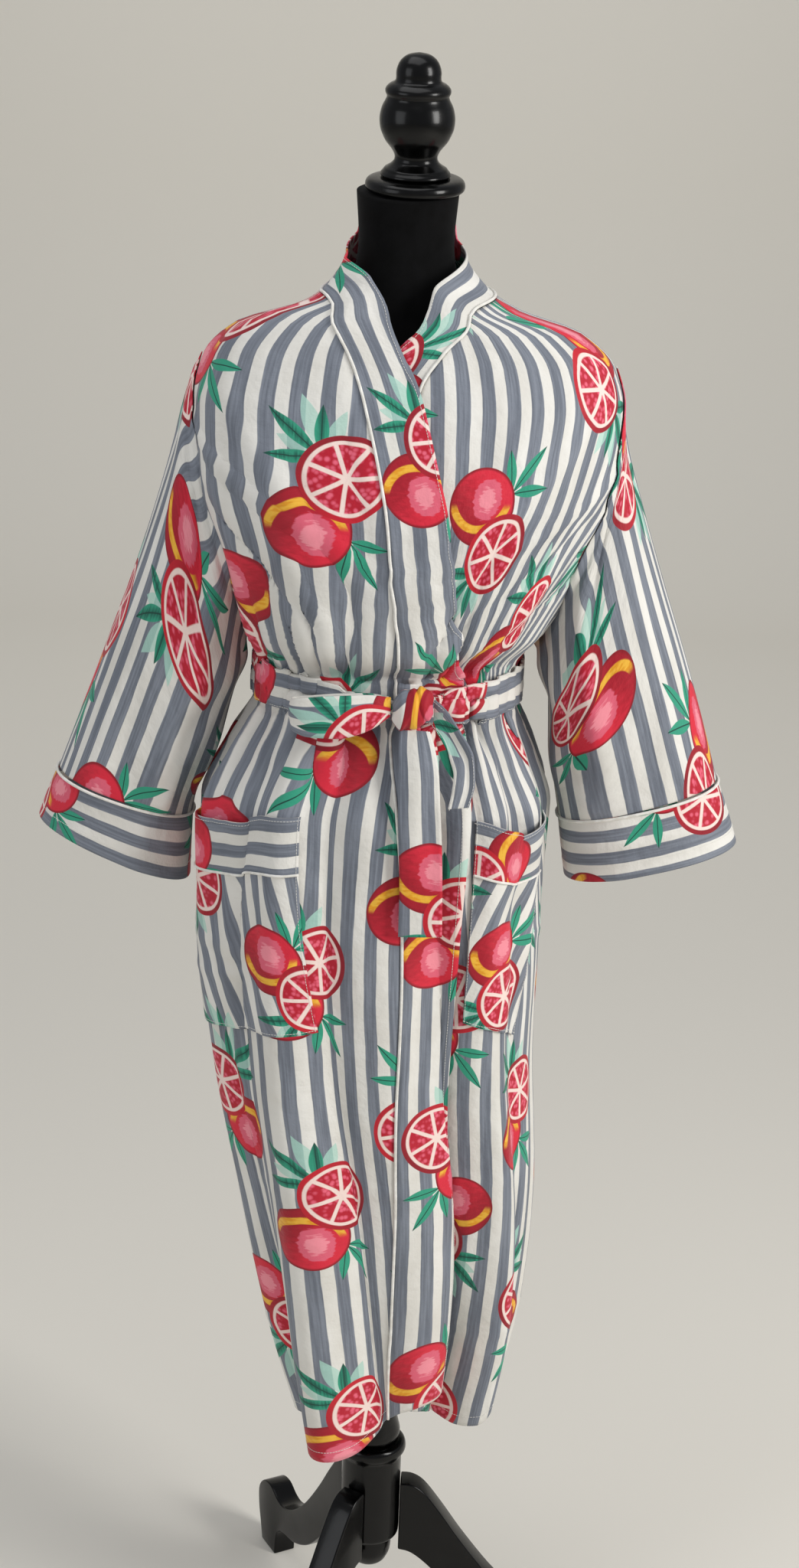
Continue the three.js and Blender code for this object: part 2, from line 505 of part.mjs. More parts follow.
function buildSleeve(side, table, cuffTable) {
  const mirrored = side === "left";
  const around = 22;
  const rows = [0, 0.45, 1, 2, 3, 4, 5, 5.93];
  const grids = [[], []];
  rows.forEach((row) => {
    const keep = (1 - smooth(0, 1.6, row));
    for (const layer of [0, 1]) {
      grids[layer].push([...Array(around).keys()].map((c) => {
        const turn = c / around;
        const { deg, z } = armholePoint(turn, mirrored);
        const seam = wornPoint(deg, z, layer * WALL);
        seam.x += (mirrored ? 1 : -1) * 2;
        const free = sleevePoint(table, row, turn, layer * WALL + 0.001);
        const start = sleevePoint(table, 0, turn, layer * WALL + 0.001);
        return free.addScaledVector(seam.sub(start), keep);
      }));
    }
  });
  add(`sleeve_${side}`, clothSolid(grids[0], grids[1], true), cotton);

  const cuff = [[], []];
  for (const row of [0.012, 1, 2]) {
    for (const layer of [0, 1]) {
      cuff[layer].push([...Array(around).keys()].map(
        (c) => sleevePoint(cuffTable, row, c / around, layer * WALL + 0.001),
      ));
    }
  }
  add(`cuff_${side}`, clothSolid(cuff[0], cuff[1], true), cotton);
  const cord = [...Array(around).keys()].map((c) => {
    const p = sleevePoint(cuffTable, 0, c / around, WALL + 1.4 + PIPING_R);
    p.out = p.clone().sub(sleevePoint(cuffTable, 0, c / around, 0.001)).normalize();
    return p;
  });
  add(`cuff_piping_${side}`, cordSolid(cord, PIPING_R, true), whiteCotton);
}
buildSleeve("right", SLEEVE_RIGHT, CUFF_RIGHT);
buildSleeve("left", SLEEVE_LEFT, CUFF_LEFT);

// ---------------------------------------------------------------- pockets
function pocketPoint(P, s, t, lift) {
  // s across from the side seam to the front, t down from mouth to foot.
  const deg = (P.mouthFrom + (P.mouthTo - P.mouthFrom) * s) * (1 - t) + (P.footFrom + (P.footTo - P.footFrom) * s) * t;
  const z = (P.topFrom + (P.topTo - P.topFrom) * s) * (1 - t) + (P.footZFrom + (P.footZTo - P.footZFrom) * s) * t;
  const open = P.gape * Math.sin(Math.PI * s) ** 2 * (1 - smooth(0, 0.5, t));
  const sag = P.gape * 1.3 * Math.sin(Math.PI * s) ** 2 * (1 - smooth(0, 0.6, t));
  return wornPoint(deg, z - sag, lift(deg) + open);
}
function buildPocket(side, P, baseLift) {
  const on = (extra) => (deg) => baseLift(deg) + WALL + ON_PANEL + extra;
  const height = P.topTo - P.footZTo;
  const split = P.band / height;
  const grid = (ts, columns) => [0, WALL].map((extra) => ts.map(
    (t) => [...Array(columns + 1).keys()].map((c) => pocketPoint(P, c / columns, t, on(extra))),
  ));
  const lower = grid([split + 0.0018, 0.38, 0.5, 0.62, 0.74, 0.87, 1], 8);
  const upper = grid([0, split / 2, split], 8);
  add(`pocket_${side}`, clothSolid(lower[0], lower[1], false), cotton);
  add(`pocket_band_${side}`, clothSolid(upper[0], upper[1], false), cotton);
  const cord = [...Array(9).keys()].map((c) => {
    const p = pocketPoint(P, c / 8, split, on(WALL + 0.6 + PIPING_R));
    p.out = p.clone().sub(pocketPoint(P, c / 8, split, on(0))).normalize();
    return p;
  });
  add(`pocket_piping_${side}`, cordSolid(cord, PIPING_R, false), whiteCotton);
}
buildPocket("right", POCKET_RIGHT, topLift);
buildPocket("left", POCKET_LEFT, underLift);

// ---------------------------------------------------------------- belt
const beltInner = (deg) => topLift(deg) * (1 - smooth(128, 150, deg)) + WALL + BELT.clear
  + BELT.overPiping * Math.exp(-(((deg - BELT.pipingDeg) / 9) ** 2));
function buildBelt() {
  const around = 44;
  const grids = [0, BELT.wall].map((extra) => [BELT.low, BELT.high].map((z) => [...Array(around).keys()].map((c) => {
    const deg = (360 * c) / around;
    return wornPoint(deg, z, (deg < 200 ? beltInner(deg) : WALL + BELT.clear) + extra);
  })));
  add("belt_wrap", clothSolid(grids[0], grids[1], true), cotton);

  const knot = new THREE.SphereGeometry(1, 14, 10);
  knot.scale(19, 12.5, 20);
  knot.translate(10, -139.5, 1164);
  add("belt_knot", knot, cotton);

  // Strips of the belt's ends: points of one long edge and of the other, top to end.
  const strip = (name, upper, lower, wall) => {
    const [a, b] = [upper, lower].map((e) => e.map((p) => new THREE.Vector3(...p)));
    const grids = [[], []];
    a.forEach((p, i) => {
      const q = b[i];
      const k = Math.min(i + 1, a.length - 1);
      const j = Math.max(i - 1, 0);
      const run = a[k].clone().add(b[k]).sub(a[j]).sub(b[j]);
      const n = q.clone().sub(p).cross(run).normalize();
      for (const layer of [0, 1]) {
        grids[layer].push([0, 0.5, 1].map(
          (t) => p.clone().lerp(q, t).addScaledVector(n, (layer - 0.5) * wall),
        ));
      }
    });
    add(name, clothSolid(grids[0], grids[1], false), cotton);
  };
  strip("belt_tail_long",
    [[-1, -140, 1142], [-2, -147, 1128], [-1, -154, 1105], [0, -159, 1070], [2, -162, 1030], [4, -163, 985], [4, -164, 943]],
    [[27, -140, 1141], [32, -147, 1127], [37, -154, 1105], [40, -159, 1070], [43, -162, 1030], [45, -163, 985], [46, -164, 944]],
    2.4);
  strip("belt_tail_short",
    [[31, -135, 1172], [42, -141, 1164], [56, -149, 1146], [70, -157, 1122], [72, -160, 1098], [67, -162, 1074]],
    [[30, -138, 1146], [38, -145, 1136], [48, -152, 1118], [52, -158, 1104], [50, -161, 1088], [47, -162, 1072]],
    2.4);
  strip("belt_loop",
    [[-12, -138, 1174], [-34, -144, 1177], [-62, -148, 1176], [-88, -146, 1173], [-102, -140, 1170],
      [-104, -135, 1169], [-100, -131, 1169], [-84, -132, 1171], [-60, -134, 1174], [-34, -133, 1175], [-13, -130, 1172]],
    [[-12, -140, 1156], [-34, -147, 1142], [-62, -151, 1135], [-88, -148, 1135], [-102, -142, 1139],
      [-104, -136, 1141], [-100, -132, 1142], [-84, -133, 1140], [-60, -135, 1140], [-34, -134, 1144], [-13, -131, 1154]],
    2.2);
}
buildBelt();
function buildCarrier(side, deg) {
  const heights = [1139.5, 1145, 1155, 1165, 1175, 1185, 1190.5];
  const lifts = [3.2, 8, 8.4, 8.4, 8.4, 8, 3.2];
  const grids = [0, 1.4].map((extra) => heights.map((z, i) => [-2.1, 2.1].map(
    (d) => wornPoint(deg + d, z, lifts[i] + extra),
  )));
  add(`belt_carrier_${side}`, clothSolid(grids[0], grids[1], false), cotton);
}
buildCarrier("right", -4);
buildCarrier("left", 180 + 4);

// ---------------------------------------------------------------- dress form and stand
function buildTorso() {
  const around = 24;
  const points = [];
  const faces = [];
  const heights = [868, 872, 915, 960, 1010, 1060, 1112, 1165, 1212, 1260, 1300, 1340, 1380, 1420, 1446, 1468,
    1484, 1496, 1506, 1516, 1530, 1545, 1567, 1590, 1613, 1636];
  for (const z of heights) {
    const [cx, a, front, back] = ["cx", "a", "front", "back"].map((c) => along(TORSO, c, z));
    for (let k = 0; k < around; k++) {
      const w = (2 * Math.PI * k) / around;
      const y = -(Math.sin(w) > 0 ? front : back) * Math.sin(w);
      const slope = Math.tan(NECK_TILT) * smooth(1560, NECK_TOP_Z, z);
      points.push(new THREE.Vector3(cx - a * Math.cos(w), y, z + y * slope));
    }
  }
  const rows = heights.length;
  for (let r = 0; r < rows - 1; r++) {
    for (let k = 0; k < around; k++) {
      const n = (k + 1) % around;
      faces.push([r * around + k, r * around + n, (r + 1) * around + n]);
      faces.push([r * around + k, (r + 1) * around + n, (r + 1) * around + k]);
    }
  }
  const [low, high] = [points.length, points.length + 1];
  points.push(new THREE.Vector3(FORM_X, 0, heights[0]), new THREE.Vector3(along(TORSO, "cx", NECK_TOP_Z), 0, NECK_TOP_Z));
  for (let k = 0; k < around; k++) {
    const n = (k + 1) % around;
    faces.push([low, n, k], [high, (rows - 1) * around + k, (rows - 1) * around + n]);
  }
  add("form_torso", solidFrom(points, faces), jersey);
}
buildTorso();

function turned(name, profile, sides) {
  const points = profile.map(([r, z]) => new THREE.Vector2(r, z));
  const geometry = new THREE.LatheGeometry(points, sides);
  geometry.rotateX(Math.PI / 2);
  return add(name, geometry, blackPaint);
}
const post = turned("stand_post", POST_PROFILE, 20);
post.position.set(FORM_X, 0, 0);
const hub = turned("stand_hub", HUB_PROFILE, 24);
hub.position.set(FORM_X, 0, 0);

const cap = new THREE.Group();
cap.position.set(FORM_X, 0, NECK_TOP_Z);
cap.rotation.x = NECK_TILT;
const plate = turned("neck_plate", PLATE_PROFILE, 28);
plate.position.z = 0.4;
const finial = turned("neck_finial", FINIAL_PROFILE, 24);
finial.position.z = 14.3;
cap.add(plate, finial);
robe.add(cap);

const legOutline = new THREE.Shape();
const topCurve = new THREE.SplineCurve(LEG_TOP.map((p) => new THREE.Vector2(...p))).getPoints(30);
const underCurve = new THREE.SplineCurve(LEG_UNDER.map((p) => new THREE.Vector2(...p))).getPoints(18);
legOutline.setFromPoints([...topCurve, ...underCurve].map((p) => new THREE.Vector2(p.x + LEG.gap, Math.max(p.y, 0))));
LEG.azimuths.forEach((azimuth, i) => {
  const board = new THREE.ExtrudeGeometry(legOutline, { depth: LEG.thick, bevelEnabled: false });
  board.translate(0, 0, -LEG.thick / 2);
  board.rotateX(Math.PI / 2);
  const leg = add(`stand_leg_${i + 1}`, board, blackPaint);
  leg.position.set(FORM_X, 0, 0);
  leg.rotation.z = rad(azimuth);
});

robe.position.set(-CENTRE.x, -CENTRE.y, 0);

export default robe;
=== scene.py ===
import math

import bpy
import numpy as np
from mathutils import Matrix, Vector


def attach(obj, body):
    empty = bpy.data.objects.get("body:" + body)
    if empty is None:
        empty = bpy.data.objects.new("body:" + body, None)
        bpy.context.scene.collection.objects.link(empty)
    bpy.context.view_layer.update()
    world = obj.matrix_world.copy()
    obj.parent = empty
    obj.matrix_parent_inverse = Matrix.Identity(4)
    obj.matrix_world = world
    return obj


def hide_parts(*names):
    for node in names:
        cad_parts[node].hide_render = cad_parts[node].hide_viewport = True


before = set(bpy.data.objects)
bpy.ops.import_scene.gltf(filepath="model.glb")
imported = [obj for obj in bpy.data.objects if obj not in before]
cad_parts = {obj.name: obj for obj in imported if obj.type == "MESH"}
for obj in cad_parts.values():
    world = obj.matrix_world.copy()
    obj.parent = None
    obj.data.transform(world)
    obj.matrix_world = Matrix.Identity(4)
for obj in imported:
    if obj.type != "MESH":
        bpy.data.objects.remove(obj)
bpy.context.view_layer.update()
PLAN_CENTRE = np.array([-0.010504, 0.004366, 0.0])  # the plan's middle, which is the origin

# ---------------------------------------------------------------- camera, floor and lights
# A standing viewer's eye, a little above the form's neck, looking down at the robe's middle.
# The floor runs up into a pale back wall in one sheet. Big soft lamps stand either side and above,
# and one far behind lights the wall alone.
eye = bpy.data.cameras.new("eye")
eye.sensor_fit = "AUTO"
eye.sensor_width = 36.0
eye.lens = 36.0 * 3000 / 2048
eye_pitch, eye_roll = math.radians(16.3), math.radians(2.0)
look = Vector((0, math.cos(eye_pitch), -math.sin(eye_pitch)))
level = Vector((1, 0, 0))
upright = level.cross(look)
right = level * math.cos(eye_roll) + upright * math.sin(eye_roll)
above = -level * math.sin(eye_roll) + upright * math.cos(eye_roll)
viewer = bpy.data.objects.new("viewer", eye)
bpy.context.collection.objects.link(viewer)
viewer.matrix_world = Matrix((
    (right.x, above.x, -look.x, 0.0105),
    (right.y, above.y, -look.y, -2.257 - 0.0044),
    (right.z, above.z, -look.z, 1.708),
    (0, 0, 0, 1),
))
bpy.context.scene.camera = viewer


def srgb(code, alpha=1.0):
    """The linear colour of a six-digit sRGB code."""
    parts = [int(code[i:i + 2], 16) / 255 for i in (0, 2, 4)]
    return (*(c / 12.92 if c <= 0.04045 else ((c + 0.055) / 1.055) ** 2.4 for c in parts), alpha)


def placed(name, data):
    obj = bpy.data.objects.new(name, data)
    bpy.context.collection.objects.link(obj)
    return obj


def stands_for(piece, node, material):
    """Gives a piece its material, parents it to the root and hides the CAD node it stands for."""
    piece.data.materials.append(material)
    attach(piece, "root")
    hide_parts(node)


def mesh_object(name, points, faces):
    mesh = bpy.data.meshes.new(name)
    mesh.from_pydata([tuple(p) for p in points], [], [tuple(f) for f in faces])
    mesh.polygons.foreach_set("use_smooth", [True] * len(mesh.polygons))
    mesh.update()
    return placed(name, mesh)


sweep = [(-7.0, 0.0)] + [
    (5.5 + 1.5 * math.sin(a), 1.5 - 1.5 * math.cos(a)) for a in np.linspace(0, math.pi / 2, 16)
] + [(7.0, 8.0)]
backdrop = mesh_object(
    "backdrop",
    [(x, y, z) for y, z in sweep for x in (-8.0, 8.0)],
    [(2 * i, 2 * i + 1, 2 * i + 3, 2 * i + 2) for i in range(len(sweep) - 1)],
)
paper = bpy.data.materials.new("backdrop paper")
paper.use_nodes = True
paper.node_tree.nodes["Principled BSDF"].inputs["Base Color"].default_value = srgb("f0ece2")
paper.node_tree.nodes["Principled BSDF"].inputs["Roughness"].default_value = 0.9
backdrop.data.materials.append(paper)


def soft_lamp(name, place, target, size, watts, colour):
    lamp = bpy.data.lights.new(name, "AREA")
    lamp.shape = "RECTANGLE"
    lamp.size, lamp.size_y = size
    lamp.energy = watts
    lamp.color = colour
    holder = placed(name, lamp)
    holder.location = place
    holder.rotation_euler = (Vector(target) - Vector(place)).to_track_quat("-Z", "Y").to_euler()


soft_lamp("window lamp", (2.6, -1.5, 2.2), (0, 0, 1.0), (1.0, 1.8), 74, (1.0, 0.985, 0.96))
soft_lamp("fill lamp", (-2.4, -1.8, 1.9), (0, 0, 0.9), (1.6, 2.0), 17, (0.96, 0.98, 1.0))
soft_lamp("top lamp", (-0.3, -0.4, 3.4), (0, 0, 0.8), (2.0, 1.6), 18, (1.0, 1.0, 1.0))
soft_lamp("wall lamp", (0, 3.2, 4.2), (0, 7.0, 1.8), (4.0, 1.5), 45, (1.0, 0.99, 0.97))
room = bpy.data.worlds.new("room")
room.use_nodes = True
room.node_tree.nodes["Background"].inputs["Color"].default_value = (0.93, 0.95, 1.0, 1)
room.node_tree.nodes["Background"].inputs["Strength"].default_value = 0.33
bpy.context.scene.world = room
bpy.context.scene.view_settings.view_transform = "Standard"

# ---------------------------------------------------------------- back
# One piece of plain-woven cotton from the neck to the hem, cut on the straight grain, joined to
# the fronts at the shoulders and sides. It hangs in soft folds below the belt. Everything worn on
# the body is shaped here: oval sections, the great folds and the small gathers of the tied belt.
WALL = 0.0011
SEAM_GAP = 0.00035
HEM = 0.33
OVERLAP_LIFT = 0.0095
OVAL = 1.2  # how square the oval sections are
BELT_MIDDLE = 1.165
ON_TOP = 0.0001  # thread lies this far off the cloth


def columns(names, rows):
    return {n: [row[i] for row in rows] for i, n in enumerate(names.split())}


RINGS = columns("z cx a front back", [
    (0.33, 0.02, 0.098, 0.084, 0.112),
    (0.47, 0.012, 0.132, 0.106, 0.12),
    (0.615, 0, 0.152, 0.122, 0.126),
    (0.78, -0.02, 0.165, 0.134, 0.132),
    (0.92, -0.027, 0.174, 0.141, 0.134),
    (1.04, -0.024, 0.172, 0.139, 0.13),
    (1.095, -0.019, 0.149, 0.124, 0.114),
    (1.142, -0.016, 0.128, 0.106, 0.098),
    (1.188, -0.015, 0.128, 0.106, 0.098),
    (1.222, -0.01, 0.15, 0.133, 0.114),
    (1.3, -0.004, 0.184, 0.141, 0.114),
    (1.37, -0.003, 0.209, 0.131, 0.112),
    (1.43, -0.004, 0.21, 0.11, 0.106),
    (1.478, -0.005, 0.198, 0.086, 0.092),
    (1.508, -0.006, 0.166, 0.076, 0.084),
    (1.528, -0.006, 0.104, 0.069, 0.079),
    (1.55, -0.009, 0.073, 0.061, 0.072),
    (1.575, -0.011, 0.057, 0.056, 0.065),
    (1.614, -0.0115, 0.053, 0.053, 0.059),
])
FOLDS = columns("name hem belt width atHem atKnee atHip atBust", [
    ("side ridge", 22, 30, 9, 0.01, 0.007, 0.004, 0),
    ("pocket trough", 40, 52, 8, -0.02, -0.008, -0.004, -0.003),
    ("front ridge", 65, 66, 12, 0.058, 0.02, 0.003, 0.003),
    ("seam trough", 82, 80, 5, 0, -0.007, -0.006, -0.003),
    ("front edge", 96, 93, 7, 0.006, 0.008, 0.004, 0.002),
    ("great trough", 119, 108, 11, -0.042, -0.016, -0.009, -0.004),
    ("left ridge", 146, 124, 9, 0.014, 0.01, 0.005, 0.003),
    ("left trough", 163, 142, 7, -0.009, -0.008, -0.004, -0.003),
    ("back ridge 1", 198, 205, 9, 0.016, 0.011, 0.004, 0.002),
    ("back trough 1", 220, 228, 9, -0.022, -0.011, -0.005, -0.004),
    ("back ridge 2", 243, 246, 9, 0.02, 0.01, 0.005, 0.003),
    ("back trough 2", 268, 266, 9, -0.026, -0.013, -0.006, -0.003),
    ("back ridge 3", 292, 287, 9, 0.022, 0.012, 0.005, 0.004),
    ("back trough 3", 316, 308, 9, -0.02, -0.01, -0.005, -0.003),
    ("back ridge 4", 338, 330, 8, 0.014, 0.008, 0.004, 0.002),
])
FOLD_HEIGHTS = [0.33, 0.7, 1.06, 1.142, 1.188, 1.26, 1.44]


def along(xs, ys, at):
    """Smooth values between the rows of a table, with no overshoot."""
    xs, ys, at = np.asarray(xs, float), np.asarray(ys, float), np.asarray(at, float)
    at = np.clip(at, xs[0], xs[-1])
    slope = np.diff(ys) / np.diff(xs)
    tangent = np.concatenate([slope[:1], np.zeros(len(xs) - 2), slope[-1:]])
    p, q = slope[:-1], slope[1:]
    same = p * q > 0
    tangent[1:-1][same] = 2 * p[same] * q[same] / (p[same] + q[same])
    i = np.clip(np.searchsorted(xs, at, side="right") - 1, 0, len(xs) - 2)
    h = xs[i + 1] - xs[i]
    t = (at - xs[i]) / h
    return ((2 * t**3 - 3 * t**2 + 1) * ys[i] + (t**3 - 2 * t**2 + t) * h * tangent[i]
            + (3 * t**2 - 2 * t**3) * ys[i + 1] + (t**3 - t**2) * h * tangent[i + 1])


def ring(name, z):
    return along(RINGS["z"], RINGS[name], z)


def smooth(low, high, x):
    t = np.clip((np.asarray(x, float) - low) / (high - low), 0, 1)
    return t * t * (3 - 2 * t)


def turned_by(deg, place):
    return (deg - place + 180) % 360 - 180


def signed_power(x, p):
    return np.sign(x) * np.abs(x) ** p


def steps_along(points, axis):
    """The distance from each point of a grid to the next one."""
    return np.linalg.norm(np.diff(points, axis=axis), axis=-1)


def summed(steps):
    return np.concatenate([[0], np.cumsum(steps)])


def pairs(a, b):
    return np.stack(np.broadcast_arrays(a, b), -1)


# Gathers that the tied belt makes: place round the body, how far each runs up and down.
chance = np.random.default_rng(11)
GATHERS = [
    {
        "at": 360 * (i + chance.uniform(-0.34, 0.34)) / 40, "width": chance.uniform(1.4, 3.2),
        "deep": chance.uniform(0.0030, 0.0125), "up": chance.uniform(0.05, 0.17),
        "down": chance.uniform(0.06, 0.26), "lean": chance.uniform(-12, 12),
    }
    for i in range(40)
]
# Longer, softer hanging folds below the hips and small drags across the chest.
HANGING = [
    {"at": 360 * (i + chance.uniform(-0.35, 0.35)) / 22, "width": chance.uniform(2.6, 5.2),
     "deep": chance.uniform(-0.0052, 0.0052), "mid": chance.uniform(0.42, 0.95),
     "long": chance.uniform(0.16, 0.34), "lean": chance.uniform(-14, 14)}
    for i in range(44)
]
SOFTER_ABOVE = 0.62  # gathers are this much shallower above the belt
DRAG_DEPTH = 0.68
DRAGS = columns("at z width long tilt deep", [
    (62, 1.36, 4.0, 0.085, -38, 0.0042), (74, 1.30, 2.6, 0.10, -20, -0.0036),
    (50, 1.29, 3.4, 0.09, -46, -0.0040), (38, 1.38, 3.6, 0.075, -60, 0.0046),
    (83, 1.38, 2.2, 0.09, -12, 0.0026), (68, 1.25, 2.4, 0.06, -24, 0.0040),
    (118, 1.36, 4.2, 0.09, 46, 0.0046), (132, 1.30, 3.2, 0.10, 52, -0.0046),
    (126, 1.24, 3.0, 0.07, 44, 0.0048), (146, 1.36, 3.8, 0.08, 62, 0.0044),
    (140, 1.25, 2.8, 0.07, 58, -0.0042), (108, 1.28, 2.4, 0.08, 26, -0.0034),
    (205, 1.33, 4.6, 0.10, -40, 0.0042), (228, 1.27, 3.6, 0.10, -22, -0.0040),
    (250, 1.34, 4.2, 0.12, -8, 0.0036), (275, 1.29, 3.8, 0.11, 6, -0.0038),
    (300, 1.33, 4.4, 0.11, 22, 0.0042), (328, 1.28, 3.8, 0.10, 42, -0.0040),
])


CRISPS = ((0.905, 0.4, 0.0011), (0.655, 2.1, 0.0013), (0.47, 4.0, 0.001), (1.345, 1.2, 0.0009))


def folds_out(deg, z):
    """How far the cloth stands out of its oval section."""
    deg, z = np.broadcast_arrays(np.asarray(deg, float), np.asarray(z, float))
    out = np.zeros(deg.shape)
    for i in range(len(FOLDS["name"])):
        place = FOLDS["hem"][i] + (FOLDS["belt"][i] - FOLDS["hem"][i]) * smooth(0.33, 1.142, z)
        size = along(FOLD_HEIGHTS, [FOLDS["atHem"][i], FOLDS["atKnee"][i], FOLDS["atHip"][i], 0, 0,
                                    FOLDS["atBust"][i], 0], z)
        out += size * np.exp(-(turned_by(deg, place) / FOLDS["width"][i]) ** 2)
    for g in GATHERS:
        above_belt, below_belt = np.clip(z - 1.184, 0, 1), np.clip(1.146 - z, 0, 1)
        run = np.where(z > BELT_MIDDLE, above_belt / g["up"], below_belt / g["down"])
        size = g["deep"] * (0.25 + 0.75 * smooth(0, 0.12, run)) * np.exp(-(run * 1.1) ** 2)
        size *= np.where(z > BELT_MIDDLE, SOFTER_ABOVE, 1)
        place = g["at"] + g["lean"] * (above_belt - below_belt) * 2
        width = g["width"] * (1 + 1.3 * run)
        away = turned_by(deg, place) / width
        out += size * (np.exp(-away**2) - 0.55 * np.exp(-((away - 1.6) / 1.2) ** 2))
    for h in HANGING:
        away = turned_by(deg, h["at"] + h["lean"] * (z - h["mid"])) / h["width"]
        out += h["deep"] * np.exp(-away**2 - ((z - h["mid"]) / h["long"]) ** 2)
    for i in range(len(DRAGS["at"])):
        tilt = math.tan(math.radians(DRAGS["tilt"][i]))
        away = (turned_by(deg, DRAGS["at"][i]) - (z - DRAGS["z"][i]) * tilt * 330) / DRAGS["width"][i]
        up = (z - DRAGS["z"][i]) / DRAGS["long"][i]
        out += DRAG_DEPTH * DRAGS["deep"][i] * np.exp(-away**2 - up**2)
    # Soft ridges where the robe lay folded in a drawer.
    for height, wave, deep in CRISPS:
        line = z - height - 0.004 * np.sin(np.radians(deg) * 3 + wave)
        out += deep * np.exp(-(line / 0.006) ** 2) * (0.5 + 0.5 * np.sin(np.radians(deg) * 2.3 + wave * 2))
    return out


def base_point(deg, z):
    deg, z = np.broadcast_arrays(np.asarray(deg, float), np.asarray(z, float))
    c, s = np.cos(np.radians(deg)), np.sin(np.radians(deg))
    depth = np.where(s >= 0, ring("front", z), ring("back", z))
    out = folds_out(deg, z)
    return np.stack([
        ring("cx", z) - ring("a", z) * signed_power(c, 1 / OVAL) - out * c,
        -depth * signed_power(s, 1 / OVAL) - out * s,
        z,
    ], -1)


def base_normal(deg, z):
    across = base_point(deg + 0.5, z) - base_point(deg - 0.5, z)
    up = base_point(deg, z + 0.0015) - base_point(deg, z - 0.0015)
    n = np.cross(across, up)
    return n / np.linalg.norm(n, axis=-1, keepdims=True)


def worn_point(deg, z, lift):
    return base_point(deg, z) + base_normal(deg, z) * np.asarray(lift)[..., None]


def angle_at(x, z):
    c = np.clip((ring("cx", z) - x) / ring("a", z), -1, 1)
    return np.degrees(np.arccos(signed_power(c, OVAL)))


# How far round the cloth a place on the body is, measured where the robe lies flat at the hips.
turns = np.linspace(-190, 550, 1481)
flat_c, flat_s = np.cos(np.radians(turns)), np.sin(np.radians(turns))
widest = RINGS["z"].index(0.92)
hip = np.stack([
    -RINGS["a"][widest] * signed_power(flat_c, 1 / OVAL),
    -np.where(flat_s >= 0, RINGS["front"][widest], RINGS["back"][widest]) * signed_power(flat_s, 1 / OVAL),
], -1)
FULLNESS = 1.17  # cloth for each measure of the hip, taken up by its folds
hip_run = summed(steps_along(hip, 0))
hip_run -= np.interp(0, turns, hip_run)


def cloth_across(deg, z, left_front=False):
    """Width of cloth from the right side seam to here; the belt drags the cloth to the front."""
    deg, z = np.broadcast_arrays(np.asarray(deg, float), np.asarray(z, float))
    below, above_belt = smooth(0.82, 1.142, z), 1 - smooth(1.188, 1.47, z)
    dragged = 26 * (below + 0.35 * smooth(1.19, 1.46, z)) * (1 - smooth(-60, 92, deg))
    if left_front:
        under, over = 28 * below * smooth(94, 150, deg), 50 * above_belt * smooth(94, 162, deg)
        dragged = np.where(z < BELT_MIDDLE, under, over)
    return np.interp(deg + np.where(deg > 200, 0, dragged), turns, hip_run) * FULLNESS


def cloth_piece(name, points, cloth, inside, wraps=False, wall=WALL):
    """A piece of cloth from a grid of points, with its flat cloth coordinates and its real wall."""
    rows, wide = points.shape[:2]
    cells = wide if wraps else wide - 1
    r, c = np.meshgrid(np.arange(rows - 1), np.arange(cells), indexing="ij")
    n = (c + 1) % wide
    quads = np.stack([r * wide + c, r * wide + n, (r + 1) * wide + n, (r + 1) * wide + c], -1).reshape(-1, 4)
    flat = points.reshape(-1, 3)
    corner = flat[quads]
    facing = np.cross(corner[:, 2] - corner[:, 0], corner[:, 3] - corner[:, 1])
    outwards = corner.mean(1) - inside(corner.mean(1))
    if (facing * outwards).sum() < 0:
        quads = quads[:, ::-1]
    mesh = bpy.data.meshes.new(name)
    mesh.from_pydata([tuple(p) for p in flat - PLAN_CENTRE], [], quads.tolist())
    mesh.polygons.foreach_set("use_smooth", [True] * len(quads))
    laid = mesh.uv_layers.new(name="cloth")
    grid = cloth.reshape(-1, 2)
    if wraps:  # the last column of cells closes the round, so its far side is one full width on
        round_width = cloth[:, -1, 0] + (cloth[:, -1, 0] - cloth[:, -2, 0])
        uv = grid[quads.ravel()].reshape(-1, 4, 2).copy()
        column, row = quads % wide, quads // wide
        last = (column == wide - 1).any(1)
        closing = last[:, None] & (column == 0)
        uv[..., 0] = np.where(closing, round_width[row], uv[..., 0])
    else:
        uv = grid[quads.ravel()]
    laid.data.foreach_set("uv", uv.ravel())
    mesh.update()
    obj = placed(name, mesh)
    thick = obj.modifiers.new("wall", "SOLIDIFY")
    thick.thickness = wall
    thick.offset = 1.0
    return obj


def robe_axis(p):
    return np.stack([ring("cx", np.clip(p[:, 2], 0.33, 1.59)), 0 * p[:, 1], p[:, 2]], -1)


